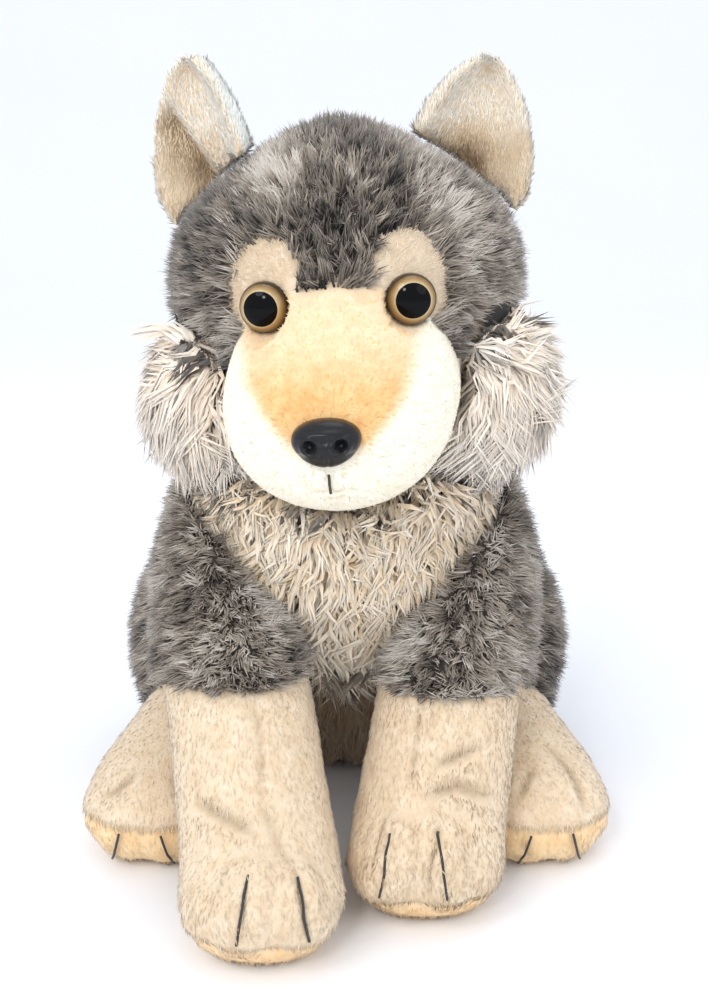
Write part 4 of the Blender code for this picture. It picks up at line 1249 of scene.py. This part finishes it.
facing = HEAD_FRAME.to_3x3() @ Vector((0, -1, 0))
tip = max(points_of(NODES["nose"]) @ np.array(facing))
nose_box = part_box("nose")
middle = (nose_box[0] + nose_box[1]) / 2
base = middle + facing * (tip - NOSE_BULGE - middle.dot(facing))
points, faces = dome_surface(NOSE_HALF, CAP_HOLE, 1.0, *NOSE_GRID, nose_height)
points[:, 0] *= 1 + NOSE_TAPER * points[:, 1] / NOSE_HALF[1]
points, faces = walled(points, faces, NOSE_WALL, NOSE_GRID[1])
nose = mesh_object("nose_button", placed(points, base, facing, UPRIGHT), faces)
nose.data.materials.append(nose_finish)
seated(nose, "nose_plastic", "nose")

# Threads and washers keep their solids


def thread_material(name, colour):
    """Twisted sewing thread: fine slanted bands."""
    made, tree, shader = new_material(name, {"Roughness": 0.75, "Sheen Weight": 0.2})
    place = add(tree, "ShaderNodeTexCoord").outputs["Object"]
    twist = {"Scale": 900.0, "Distortion": 0.5}
    wave = add(tree, "ShaderNodeTexWave", {"Vector": place}, twist, bands_direction="DIAGONAL")
    shade = ramp(tree, wave.outputs["Fac"], [(0.2, linear(colour)), (0.8, (0.06, 0.055, 0.05, 1.0))])
    painted(tree, shader, shade)
    return made


black_thread = thread_material("black_thread", "#0b0a0a")
for node, thing in NODES.items():
    if "thread" in node:
        thing.data.materials.clear()
        thing.data.materials.append(black_thread)
    elif "washer" in node:
        thing.data.materials.clear()
        thing.data.materials.append(washer_finish)

# Floor, light and camera


def floor_material():
    made, tree, shader = new_material("floor_matt_paper", {"Roughness": 0.7})
    place = add(tree, "ShaderNodeTexCoord").outputs["Object"]
    fine = add(tree, "ShaderNodeTexNoise", {"Vector": place}, {"Scale": 3.0, "Detail": 2.0})
    colour = ramp(tree, fine.outputs["Fac"], tones(("#f4f6fa", "#f8f9fc")))
    painted(tree, shader, colour)
    return made


FLOOR_HALF_WIDTH, FLOOR_FRONT, BACKDROP_TOP = 7.0, -4.0, 6.0
BEND_START, BEND_RADIUS = 1.4, 1.6


def sweep():
    """A floor that curves up into a backdrop, in points across and along."""
    bend = np.linspace(0, pi / 2, 17)
    curve = zip(BEND_START + BEND_RADIUS * np.sin(bend), BEND_RADIUS - BEND_RADIUS * np.cos(bend))
    along = [(FLOOR_FRONT, 0.0), *curve, (BEND_START + BEND_RADIUS, BACKDROP_TOP)]
    points = np.array([(x, y, z) for y, z in along for x in (-FLOOR_HALF_WIDTH, FLOOR_HALF_WIDTH)])
    faces = np.array([(2 * i, 2 * i + 1, 2 * i + 3, 2 * i + 2) for i in range(len(along) - 1)])
    return points, faces


floor = mesh_object("floor", *sweep())
floor.data.materials.append(floor_material())

scene = bpy.context.scene
world = bpy.data.worlds.new("studio")
world.use_nodes = True
world.node_tree.nodes["Background"].inputs["Color"].default_value = linear("#f4f7fd")
world.node_tree.nodes["Background"].inputs["Strength"].default_value = 1.05
scene.world = world
scene.view_settings.view_transform = "Standard"


def softbox(name, place, target, size, power):
    light = bpy.data.lights.new(name, "AREA")
    light.shape = "DISK"
    light.size = size
    light.energy = power
    made = linked(name, light)
    made.location = place
    made.rotation_mode = "QUATERNION"
    made.rotation_quaternion = (Vector(target) - Vector(place)).to_track_quat("-Z", "Y")


softbox("key", (-0.9, -1.1, 1.6), (0, 0, 0.12), size=0.9, power=8.0)
softbox("fill", (1.1, -1.0, 1.0), (0, 0, 0.12), size=1.0, power=2.5)
softbox("sparkle", (-0.35, -1.2, 0.95), (0, -0.08, 0.21), size=0.26, power=3.5)
softbox("top", (0.1, 0.3, 1.8), (0, 0, 0.1), size=1.0, power=3.0)

camera = bpy.data.cameras.new("camera")
camera.sensor_width = 36
camera.sensor_fit = "AUTO"
camera.lens = LENS
camera_object = linked("camera", camera)
camera_object.location = CAMERA_PLACE
camera_object.rotation_euler = (pi / 2 - CAMERA_PITCH, 0, 0)
scene.camera = camera_object
